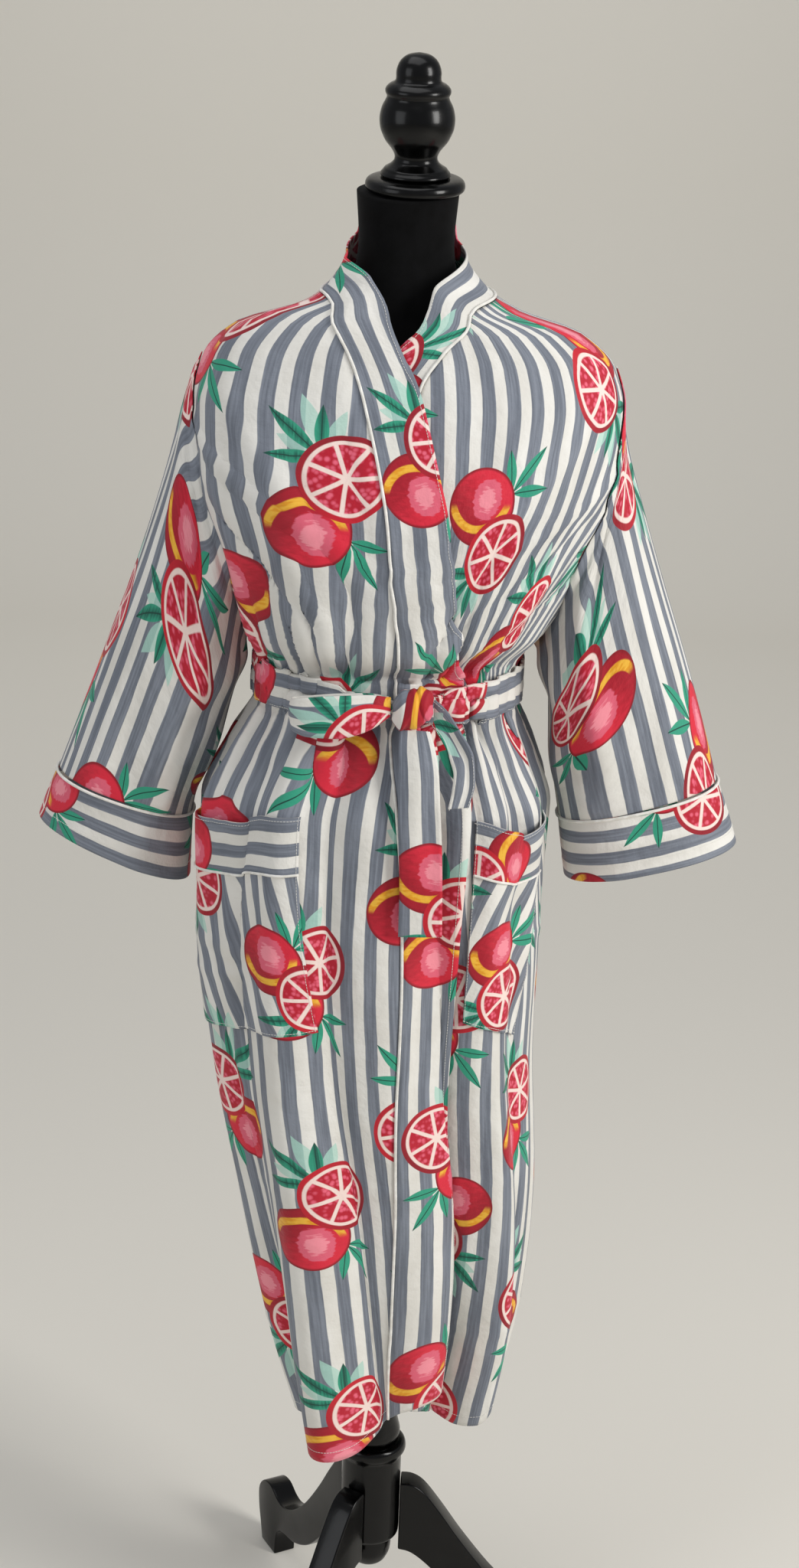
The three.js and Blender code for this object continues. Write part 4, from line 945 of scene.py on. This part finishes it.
# ---------------------------------------------------------------- pockets
# Two patch pockets, each a square of cloth with its stripes upright and a top band with its
# stripes running across, white piping in the join. They are sewn to the fronts at sides and foot.
POCKETS = columns(
    "side mouthFrom mouthTo footFrom footTo topFrom topTo footZFrom footZTo gape slant u v", [
        ("right", 14, 69, 20, 76, 1.034, 1.052, 0.812, 0.834, 0.005, -0.18, 0.030, 0.098),
        ("left", 164, 121, 152, 121, 1.040, 1.050, 0.806, 0.838, 0.013, 0.36, 0.075, 0.21),
    ])
POCKET_BAND = 0.055
ON_PANEL = 0.0034
pocket_runs = []
for i, side in enumerate(POCKETS["side"]):
    P = {k: POCKETS[k][i] for k in POCKETS}
    lift = top_lift if side == "right" else no_lift

    def pocket_points(s, t, extra):
        s, t = np.broadcast_arrays(s, t)
        mouth = P["mouthFrom"] + (P["mouthTo"] - P["mouthFrom"]) * s
        foot = P["footFrom"] + (P["footTo"] - P["footFrom"]) * s
        top = P["topFrom"] + (P["topTo"] - P["topFrom"]) * s
        low = P["footZFrom"] + (P["footZTo"] - P["footZFrom"]) * s
        deg = mouth * (1 - t) + foot * t
        bow = np.sin(np.pi * s) ** 2
        gape = P["gape"] * bow * (1 - smooth(0, 0.5, t))
        sag = P["gape"] * 1.3 * bow * (1 - smooth(0, 0.6, t))
        ease = 0.0016 * np.sin(np.pi * s) * np.sin(9 * s + 5 * t) * np.sin(np.pi * np.clip(t, 0, 1))
        crease = 0.0011 * np.exp(-((t - 0.72 - 0.02 * np.sin(5 * s)) / 0.03) ** 2)
        off = lift(deg) + ON_PANEL + gape + ease + crease + extra
        return worn_point(deg, top * (1 - t) + low * t - sag, off)

    split = POCKET_BAND / (P["topTo"] - P["footZTo"])
    s = np.linspace(0, 1, 81)[None]
    for name, t, wall in (
        ("pocket", np.linspace(split + 0.0018, 1, 90)[:, None], WALL),
        ("pocket_band", np.linspace(0, split, 30)[:, None], BAND_WALL),
    ):
        points = pocket_points(s, t, 0.0)
        across = summed(steps_along(points, 1).mean(0))[None] * 1.05
        down = summed(steps_along(points, 0).mean(1))[:, None]
        if side == "left":
            across = -across
        if name == "pocket":
            cloth = pairs(across + P["slant"] * down + P["u"], P["v"] - down)
        else:
            cloth = pairs(down + 0.0055, across + P["v"])
        pocket = cloth_piece(f"robe_{name}_{side}", points, cloth, robe_axis, wall=wall)
        stands_for(pocket, f"{name}_{side}", printed_cotton)
        size = (float(abs(across[0, -1] - across[0, 0])), float(down[-1, 0]))
    line = pocket_points(np.linspace(0, 1, 60), split, BAND_WALL + 0.0008)
    corded_edge(f"robe_pocket_piping_{side}", f"pocket_piping_{side}", line, 0.0013)
    down_side, across_foot = np.linspace(0.004, 1, 80), np.linspace(0, 1, 60)
    over = WALL + ON_TOP
    beside = np.where(down_side < split, BAND_WALL, WALL) + ON_TOP
    pocket_runs += [
        pocket_points(0.012 + 0 * down_side, down_side * 0.988, beside),
        pocket_points(0.988 + 0 * down_side, down_side * 0.988, beside),
        pocket_points(across_foot * 0.976 + 0.012, 0.988 + 0 * across_foot, over),
        pocket_points(across_foot, 0.014 + 0 * across_foot, BAND_WALL + ON_TOP),
    ]

# ---------------------------------------------------------------- belt
# A straight doubled strip of the same cotton, tied once at the middle front: the wrap, the knot,
# one loop to the wearer's right and two ends. Thread carriers hold it at the side seams.
BELT_WALL = 0.0024
BELT_WIDE = 0.0395
around = np.linspace(0, 360, 400, endpoint=False)
level_t = np.linspace(0, 1, 15)[:, None]
lifted = (top_lift(around) * (1 - smooth(128, 150, around)) + 0.004
          + 0.004 * np.exp(-((around - 93.4) / 9) ** 2))
lifted = np.where(around < 200, lifted, 0.0036)
front_dip = np.exp(-((around - 92) / 26) ** 2)
narrow = 1 - 0.52 * np.exp(-((around - 90) / 17) ** 2)
centre = 1.1665 - 0.009 * front_dip + 0.002 * np.sin(np.radians(around) * 2)
high = centre[None] + (level_t - 0.5) * BELT_WIDE * narrow[None]
rumple = (0.0011 * np.sin(np.radians(around) * 7)[None] * np.sin(level_t * 5 + np.radians(around) * 3)
          + 0.0016 * np.exp(-((level_t - 0.42 - 0.2 * np.sin(np.radians(around) * 1.5)) / 0.09) ** 2)
          * (0.3 + front_dip))
deg = np.broadcast_to(around, high.shape)
points = worn_point(deg, high, lifted[None] + 0.0006 + np.abs(rumple))
run = summed(steps_along(points[7], 0))
run_first = pairs(run[None] * 1.02 + 0.06, level_t * BELT_WIDE + 0.008)
belt = cloth_piece("robe_belt_wrap", points, run_first, robe_axis, wraps=True, wall=BELT_WALL)
laid = belt.data.uv_layers["cloth"].data  # closed round its run, then turned so that the run is v
turned_uv = np.zeros(len(laid) * 2)
laid.foreach_get("uv", turned_uv)
laid.foreach_set("uv", turned_uv.reshape(-1, 2)[:, ::-1].ravel())
stands_for(belt, "belt_wrap", printed_cotton)
belt_runs = [
    worn_point(around, centre + half * 0.0365 * narrow, lifted + 0.0006 + BELT_WALL + 0.0004)
    for half in (-0.5, 0.5)]


def in_front(p):
    return p + np.array([0.0, 0.15, 0.0])


def strip(name, node, upper, lower, shift, wall=BELT_WALL, cup=0.0, ripple=0.0, count=70):
    """A length of belt between its two long edges, given as points from its start to its end."""
    upper, lower = np.array(upper) / 1000, np.array(lower) / 1000
    n = np.arange(len(upper))
    at = np.linspace(0, len(upper) - 1, count)
    a = np.stack([along(n, upper[:, k], at) for k in range(3)], -1)
    b = np.stack([along(n, lower[:, k], at) for k in range(3)], -1)
    t = np.linspace(0, 1, 15)
    points = a[:, None] + (b - a)[:, None] * t[None, :, None]
    run = np.gradient(a + b, axis=0)
    out = np.cross(b - a, run)
    out /= np.linalg.norm(out, axis=1, keepdims=True)
    s = np.linspace(0, 1, count)[:, None]
    bow = cup * np.sin(np.pi * t)[None] + ripple * np.sin(t * 2.2 * np.pi + s * 4) * np.sin(np.pi * s)
    points = points + out[:, None] * (bow - wall / 2)[..., None]
    length = summed(steps_along((a + b) / 2, 0))
    cloth = pairs(t[None] * BELT_WIDE + shift[0], shift[1] - length[:, None])
    made = cloth_piece(name, points, cloth, in_front, wall=wall)
    stands_for(made, node, printed_cotton)
    edge = 0.07
    belt_runs.extend(
        (a + (b - a) * k + out * (wall / 2 + 0.0003) * np.sign((out * [0, -1, 0]).sum(1))[:, None])
        for k in (edge, 1 - edge))


strip(
    "robe_belt_tail_long", "belt_tail_long",
    [
        (-1, -140, 1142), (-2, -147, 1128), (-1, -154, 1105), (0, -159, 1070), (2, -162, 1030),
        (4, -163, 985), (4, -164, 943),
    ],
    [
        (27, -140, 1141), (32, -147, 1127), (37, -154, 1105), (40, -159, 1070), (43, -162, 1030),
        (45, -163, 985), (46, -164, 944),
    ],
    (0.0085, 0.275), ripple=0.0016, cup=-0.0012, count=110)
strip(
    "robe_belt_tail_short", "belt_tail_short",
    [
        (31, -135, 1172), (42, -141, 1164), (56, -149, 1146), (70, -157, 1122), (72, -160, 1098),
        (67, -162, 1074),
    ],
    [
        (30, -138, 1146), (38, -145, 1136), (48, -152, 1118), (52, -158, 1104), (50, -161, 1088),
        (47, -162, 1072),
    ],
    (0.0085, 0.065), ripple=0.0014, cup=-0.001)
strip(
    "robe_belt_loop", "belt_loop",
    [
        (-12, -138, 1174), (-34, -144, 1177), (-62, -148, 1176), (-88, -146, 1173), (-102, -140, 1170),
        (-104, -135, 1169), (-100, -131, 1169), (-84, -132, 1171), (-60, -134, 1174), (-34, -133, 1175),
        (-13, -130, 1172),
    ],
    [
        (-12, -140, 1156), (-34, -147, 1142), (-62, -151, 1135), (-88, -148, 1135), (-102, -142, 1139),
        (-104, -136, 1141), (-100, -132, 1142), (-84, -133, 1140), (-60, -135, 1140), (-34, -134, 1144),
        (-13, -131, 1154),
    ],
    (0.0205, 0.115), wall=0.002, cup=-0.001, ripple=0.0008, count=120)

# The knot: one turn of the belt drawn tight, its folds running in from both sides.
lat, lon = np.meshgrid(np.linspace(-1, 1, 49), np.linspace(0, 2 * math.pi, 96, endpoint=False), indexing="ij")
waist = np.sqrt(np.maximum(1 - np.abs(lat) ** 2.6, 0)) ** 0.9
crease = (0.055 * np.sin(lat * 9 + 1.2 * np.sin(lon))
          + 0.10 * np.exp(-((lat + 0.1 - 0.5 * np.cos(lon)) / 0.16) ** 2)
          - 0.16 * np.exp(-((lat - 0.42 + 0.25 * np.cos(lon)) / 0.10) ** 2))
size = 1 + crease * waist
knot_points = np.stack([
    0.010 + 0.019 * lat * (1 + 0.1 * np.cos(lon * 2)),
    -0.1395 - 0.0125 * waist * np.sin(lon) * size,
    1.164 + 0.020 * waist * np.cos(lon) * size + 0.004 * lat,
], -1)
knot_points[0] = knot_points[0].mean(0)
knot_points[-1] = knot_points[-1].mean(0)
cloth = np.stack([0.012 + lon * 0.0075 + lat * 0.004, 0.110 + lat * 0.022], -1)


def knot_middle(p):
    return np.broadcast_to(np.array([0.010, -0.1395, 1.164]), p.shape)


knot = cloth_piece("robe_belt_knot", knot_points, cloth, knot_middle, wraps=True)
knot.modifiers.clear()
stands_for(knot, "belt_knot", printed_cotton)

for side, place in (("right", -4), ("left", 184)):
    heights = np.array([1.1395, 1.145, 1.155, 1.165, 1.175, 1.185, 1.1905])
    stand_off = np.array([0.0032, 0.008, 0.0084, 0.0084, 0.0084, 0.008, 0.0032])
    at = np.linspace(0, 6, 40)
    n = np.arange(7)
    z, off = along(n, heights, at)[:, None], along(n, stand_off, at)[:, None]
    deg = place + np.linspace(-2.1, 2.1, 7)[None]
    points = worn_point(deg + 0 * z, z + 0 * deg, off + 0 * deg)
    cloth = pairs(np.linspace(0.009, 0.018, 7)[None], z)
    carrier = cloth_piece(f"robe_belt_carrier_{side}", points, cloth, robe_axis, wall=0.0012)
    stands_for(carrier, f"belt_carrier_{side}", printed_cotton)

# ---------------------------------------------------------------- stitching
# White cotton lockstitch, about eight stitches to the inch: the hem, the bands' free edges, the
# cuffs' hems, the pockets' three sewn sides and band, and both edges of the belt.
thread, tree, shader = finish("thread", 0.6)
start = Wire(tree, tree.nodes.new("ShaderNodeTexCoord").outputs["Object"])
tree.links.new(start.noise(700.0).mix(srgb("cfccc4"), srgb("efeee9")).socket, shader.inputs["Base Color"])
PITCH, STITCH_LONG, THREAD_THICK = 0.0031, 0.0023, 0.00052


def stitched(name, runs, closed=False):
    """Stitches laid along runs of points, by Geometry Nodes, made into one plain mesh."""
    mesh = bpy.data.meshes.new(name)
    points, edges = [], []
    for line in runs:
        first = len(points)
        points += [tuple(p) for p in np.asarray(line) - PLAN_CENTRE]
        edges += [(i, i + 1) for i in range(first, len(points) - 1)]
        if closed:
            edges.append((len(points) - 1, first))
    mesh.from_pydata(points, edges, [])
    guide = placed(name + "_line", mesh)
    sewing = bpy.data.node_groups.new(name, "GeometryNodeTree")
    sewing.interface.new_socket("Geometry", in_out="INPUT", socket_type="NodeSocketGeometry")
    pitch = sewing.interface.new_socket("Pitch", in_out="INPUT", socket_type="NodeSocketFloat")
    made = sewing.interface.new_socket("Geometry", in_out="OUTPUT", socket_type="NodeSocketGeometry")
    add, link = sewing.nodes.new, sewing.links.new
    entry, leave = add("NodeGroupInput"), add("NodeGroupOutput")
    curve = add("GeometryNodeMeshToCurve")
    spaced = add("GeometryNodeCurveToPoints")
    spaced.mode = "LENGTH"
    stitch = add("GeometryNodeMeshCylinder")
    stitch.inputs["Vertices"].default_value = 5
    stitch.inputs["Radius"].default_value = THREAD_THICK / 2
    stitch.inputs["Depth"].default_value = STITCH_LONG
    sewn = add("GeometryNodeInstanceOnPoints")
    real = add("GeometryNodeRealizeInstances")
    painted = add("GeometryNodeSetMaterial")
    painted.inputs["Material"].default_value = thread
    link(entry.outputs["Geometry"], curve.inputs["Mesh"])
    link(curve.outputs["Curve"], spaced.inputs["Curve"])
    link(entry.outputs["Pitch"], spaced.inputs["Length"])
    link(spaced.outputs["Points"], sewn.inputs["Points"])
    link(spaced.outputs["Rotation"], sewn.inputs["Rotation"])
    link(stitch.outputs["Mesh"], sewn.inputs["Instance"])
    link(sewn.outputs["Instances"], real.inputs["Geometry"])
    link(real.outputs["Geometry"], painted.inputs["Geometry"])
    link(painted.outputs["Geometry"], leave.inputs["Geometry"])
    sew = guide.modifiers.new("sewing", "NODES")
    sew.node_group = sewing
    sew[pitch.identifier] = PITCH
    done = bpy.data.meshes.new_from_object(guide.evaluated_get(bpy.context.evaluated_depsgraph_get()))
    bpy.data.objects.remove(guide)
    obj = placed(name, done)
    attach(obj, "root")
    return obj


hem_runs = []
OUTSIDE = BASE + WALL + ON_TOP
HEM_TURN = HEM + 0.012
for table, lift, hem, mirrored in (
    (BAND_RIGHT, top_lift, HEM_TOP, False), (BAND_LEFT, no_lift, HEM_UNDER, True)):
    seam = band_rows(table, np.array([band_step_at(table, HEM_TURN)]), mirrored)["seam"][0]
    deg = np.linspace(180.3 if mirrored else 0.3, seam, 300)
    hem_runs.append(worn_point(deg, hung(hem, deg, HEM_TURN + 0 * deg), lift(deg) + OUTSIDE))
deg = np.linspace(180.3, 359.7, 500)
hem_runs.append(worn_point(deg, hung(HEM_UNDER, deg, HEM_TURN + 0 * deg), 0 * deg + OUTSIDE))
stitched("robe_stitches_hem", hem_runs)
stitched("robe_stitches_bands", list(band_edges.values()))
stitched("robe_stitches_cuffs", cuff_lines, closed=True)
stitched("robe_stitches_pockets", pocket_runs)
stitched("robe_stitches_belt", belt_runs)

# ---------------------------------------------------------------- dress form
# A limbless bust of foam under a tight black knitted jersey, sloping at the neck. It is smooth
# and whole under the robe and clear of the cloth, on the stand's post.
black_jersey, tree, shader = finish(
    "black jersey", 0.9, Sheen_Weight=0.06, Sheen_Roughness=0.4, Specular_IOR_Level=0.12)
start = Wire(tree, tree.nodes.new("ShaderNodeTexCoord").outputs["Object"])
soft = start.noise(55.0, 3.0)
tree.links.new(soft.ramp(0.3, 0.7).mix(srgb("040404"), srgb("0a0a0b")).socket, shader.inputs["Base Color"])
axes = start.node("ShaderNodeSeparateXYZ", (), {0: start})
px, py, pz = (Wire(tree, axes.socket.node.outputs[i]) for i in range(3))
wales = (py.maths("ARCTAN2", px) * 420).maths("SINE") * (pz * 2 * math.pi / 0.0012).maths("SINE")
relief(start, shader, wales * 0.5 + start.noise(1400.0, 1.0), 0.00015, 0.5)
TORSO = columns("z cx a front back", [
    (0.868, -0.005, 0.128, 0.084, 0.09),
    (0.872, -0.005, 0.138, 0.093, 0.098),
    (0.96, -0.005, 0.146, 0.102, 0.104),
    (1.06, -0.005, 0.13, 0.092, 0.092),
    (1.165, -0.005, 0.106, 0.082, 0.076),
    (1.26, -0.005, 0.12, 0.098, 0.086),
    (1.34, -0.005, 0.136, 0.116, 0.092),
    (1.42, -0.005, 0.152, 0.092, 0.09),
    (1.468, -0.006, 0.158, 0.066, 0.072),
    (1.496, -0.008, 0.132, 0.056, 0.062),
    (1.516, -0.01, 0.084, 0.05, 0.056),
    (1.545, -0.011, 0.054, 0.047, 0.05),
    (1.59, -0.0115, 0.046, 0.043, 0.045),
    (1.636, -0.0115, 0.049, 0.047, 0.048),
])
FORM_X, NECK_TOP, NECK_TILT = -0.005, 1.636, math.radians(10)
z = np.concatenate([[0.868], np.linspace(0.872, 1.49, 110), np.linspace(1.49, 1.636, 50)[1:]])
SIDES = 128
w = np.linspace(0, 2 * math.pi, SIDES, endpoint=False)
size = {k: along(TORSO["z"], TORSO[k], z)[:, None] for k in ("cx", "a", "front", "back")}
y = -np.where(np.sin(w) > 0, size["front"], size["back"]) * np.sin(w)
slope = math.tan(NECK_TILT) * smooth(1.56, NECK_TOP, z)[:, None]
body_points = np.stack(np.broadcast_arrays(
    size["cx"] - size["a"] * np.cos(w), y, z[:, None] + y * slope), -1).reshape(-1, 3)
faces = [
    (r * SIDES + k, r * SIDES + (k + 1) % SIDES, (r + 1) * SIDES + (k + 1) % SIDES, (r + 1) * SIDES + k)
    for r in range(len(z) - 1) for k in range(SIDES)]
faces.append(tuple(reversed(range(SIDES))))
faces.append(tuple((len(z) - 1) * SIDES + k for k in range(SIDES)))
form = mesh_object("form_body", body_points - PLAN_CENTRE, faces)
stands_for(form, "form_torso", black_jersey)

# ---------------------------------------------------------------- neck cap, post and hub
# Turned hardwood, painted glossy black: a round plate on the neck with a finial screwed into it,
# and a turned post in a hub that carries the legs.
black_paint, tree, shader = finish(
    "black paint on wood", 0.3, Coat_Weight=0.12, Coat_Roughness=0.08, Specular_IOR_Level=0.22)
start = Wire(tree, tree.nodes.new("ShaderNodeTexCoord").outputs["Object"])
scuffs = start.noise(38.0, 5.0)
black = scuffs.ramp(0.45, 0.75).mix(srgb("020202"), srgb("080808"))
tree.links.new(black.socket, shader.inputs["Base Color"])
tree.links.new((scuffs * 0.18 + 0.15).socket, shader.inputs["Roughness"])
grain = start.node("ShaderNodeVectorMath", {"operation": "MULTIPLY"}, {0: start, 1: (240.0, 240.0, 30.0)})
relief(start, shader, grain.noise(1.0, 3.0), 0.0002, 0.35)


def rounded(profile):
    """The turner's profile with its corners eased."""
    profile = np.array(profile, float) / 1000
    made = [profile[0]]
    for a, b, c in zip(profile[:-2], profile[1:-1], profile[2:]):
        before = b + (a - b) * min(0.5, 0.004 / max(np.linalg.norm(a - b), 1e-6))
        after = b + (c - b) * min(0.5, 0.004 / max(np.linalg.norm(c - b), 1e-6))
        for t in np.linspace(0, 1, 5):
            made.append(before * (1 - t) ** 2 + 2 * b * t * (1 - t) + after * t**2)
    return np.array(made + [profile[-1]])


def turned_piece(name, profile, origin, tilt, node):
    line = rounded(profile)
    sides = 96
    w = np.linspace(0, 2 * math.pi, sides, endpoint=False)
    radius, height = line[:, :1], line[:, 1:]
    points = np.stack(np.broadcast_arrays(radius * np.cos(w), radius * np.sin(w), height), -1).reshape(-1, 3)
    c, s = math.cos(tilt), math.sin(tilt)
    points = points @ np.array([[1, 0, 0], [0, c, -s], [0, s, c]]).T + np.array(origin)
    rows = len(line)
    faces = [
        (r * sides + k, r * sides + (k + 1) % sides, (r + 1) * sides + (k + 1) % sides, (r + 1) * sides + k)
        for r in range(rows - 1) for k in range(sides)]
    obj = mesh_object(name, points - PLAN_CENTRE, faces)
    weld = obj.modifiers.new("weld", "WELD")
    weld.merge_threshold = 0.00001
    stands_for(obj, node, black_paint)
    return obj


PLATE = [
    (0, 0), (44, 0), (47, 2), (48, 5), (47.5, 9), (45, 12), (38, 13.5), (0, 13.5),
]
FINIAL = [
    (0, 0), (33, 0), (34, 3), (31, 6), (30, 8), (26, 10), (21, 14), (20, 19), (23, 25), (30, 33), (35, 44),
    (36, 54), (34, 64), (30, 71), (29, 74), (31, 77), (31, 81), (27, 85), (22, 87), (21, 90), (21.5, 97),
    (18, 106), (11, 111.5), (0, 113.5),
]
POST = [
    (0, 290.4), (29, 290.4), (31, 300), (27, 316), (24, 350), (22, 372), (21, 380), (27, 384), (31, 400),
    (30, 430), (24, 470), (19, 520), (19, 860), (34, 862), (34, 867.6), (0, 867.6),
]
HUB = [
    (0, 129), (10, 130), (19, 136), (24, 147), (25, 158), (23, 166), (32, 170), (33, 176), (33, 272),
    (37, 276), (38, 281), (36, 288), (30, 290), (0, 290),
]


def on_neck(up):
    return (FORM_X, -math.sin(NECK_TILT) * up, NECK_TOP + math.cos(NECK_TILT) * up)


turned_piece("form_neck_plate", PLATE, on_neck(0.0004), NECK_TILT, "neck_plate")
turned_piece("form_finial", FINIAL, on_neck(0.0143), NECK_TILT, "neck_finial")
turned_piece("form_post", POST, (FORM_X, 0, 0), 0, "stand_post")
turned_piece("form_hub", HUB, (FORM_X, 0, 0), 0, "stand_hub")

# ---------------------------------------------------------------- legs
# Three cabriole legs sawn from board, their edges rounded over and painted with the rest. Each
# is dowelled to the hub.
LEG_TOP = [
    (33, 238), (46, 237), (60, 228), (80, 202), (105, 166), (140, 122), (172, 93), (198, 80), (216, 80),
    (236, 88), (256, 84), (270, 68), (270, 44), (264, 20), (259, 0),
]
LEG_UNDER = [
    (221, 0), (219, 24), (212, 38), (196, 44), (166, 50), (130, 70), (96, 104), (68, 134), (48, 150),
    (33, 154),
]
LEG_THICK = 0.027


def spline(corners, count):
    corners = np.array(corners, float) / 1000
    ends = np.concatenate([[corners[0]], corners, [corners[-1]]])
    made = []
    for t in np.linspace(0, len(corners) - 1 - 1e-9, count):
        i = int(t)
        f = t - i
        p0, p1, p2, p3 = ends[i:i + 4]
        v0, v1 = (p2 - p0) / 2, (p3 - p1) / 2
        cubic, square = 2 * p1 - 2 * p2 + v0 + v1, -3 * p1 + 3 * p2 - 2 * v0 - v1
        made.append(cubic * f**3 + square * f**2 + v0 * f + p1)
    return made


outline = np.array(spline(LEG_TOP, 70) + spline(LEG_UNDER, 44)) + np.array([0.0004, 0])
outline[:, 1] = np.maximum(outline[:, 1], 0)
for i, azimuth in enumerate((-2, 118, 238)):
    c, s = math.cos(math.radians(azimuth)), math.sin(math.radians(azimuth))
    points = []
    for half in (-LEG_THICK / 2, LEG_THICK / 2):
        points += [(FORM_X + c * r - s * half, s * r + c * half, h) for r, h in outline]
    n = len(outline)
    faces = [tuple(range(n)), tuple(reversed(range(n, 2 * n)))]
    faces += [(k, k + n, (k + 1) % n + n, (k + 1) % n) for k in range(n)]
    leg = mesh_object(f"form_leg_{i + 1}", np.array(points) - PLAN_CENTRE, faces)
    leg.data.flip_normals()
    edge = leg.modifiers.new("eased edges", "BEVEL")
    edge.width, edge.segments, edge.limit_method, edge.angle_limit = 0.0028, 4, "ANGLE", math.radians(50)
    stands_for(leg, f"stand_leg_{i + 1}", black_paint)
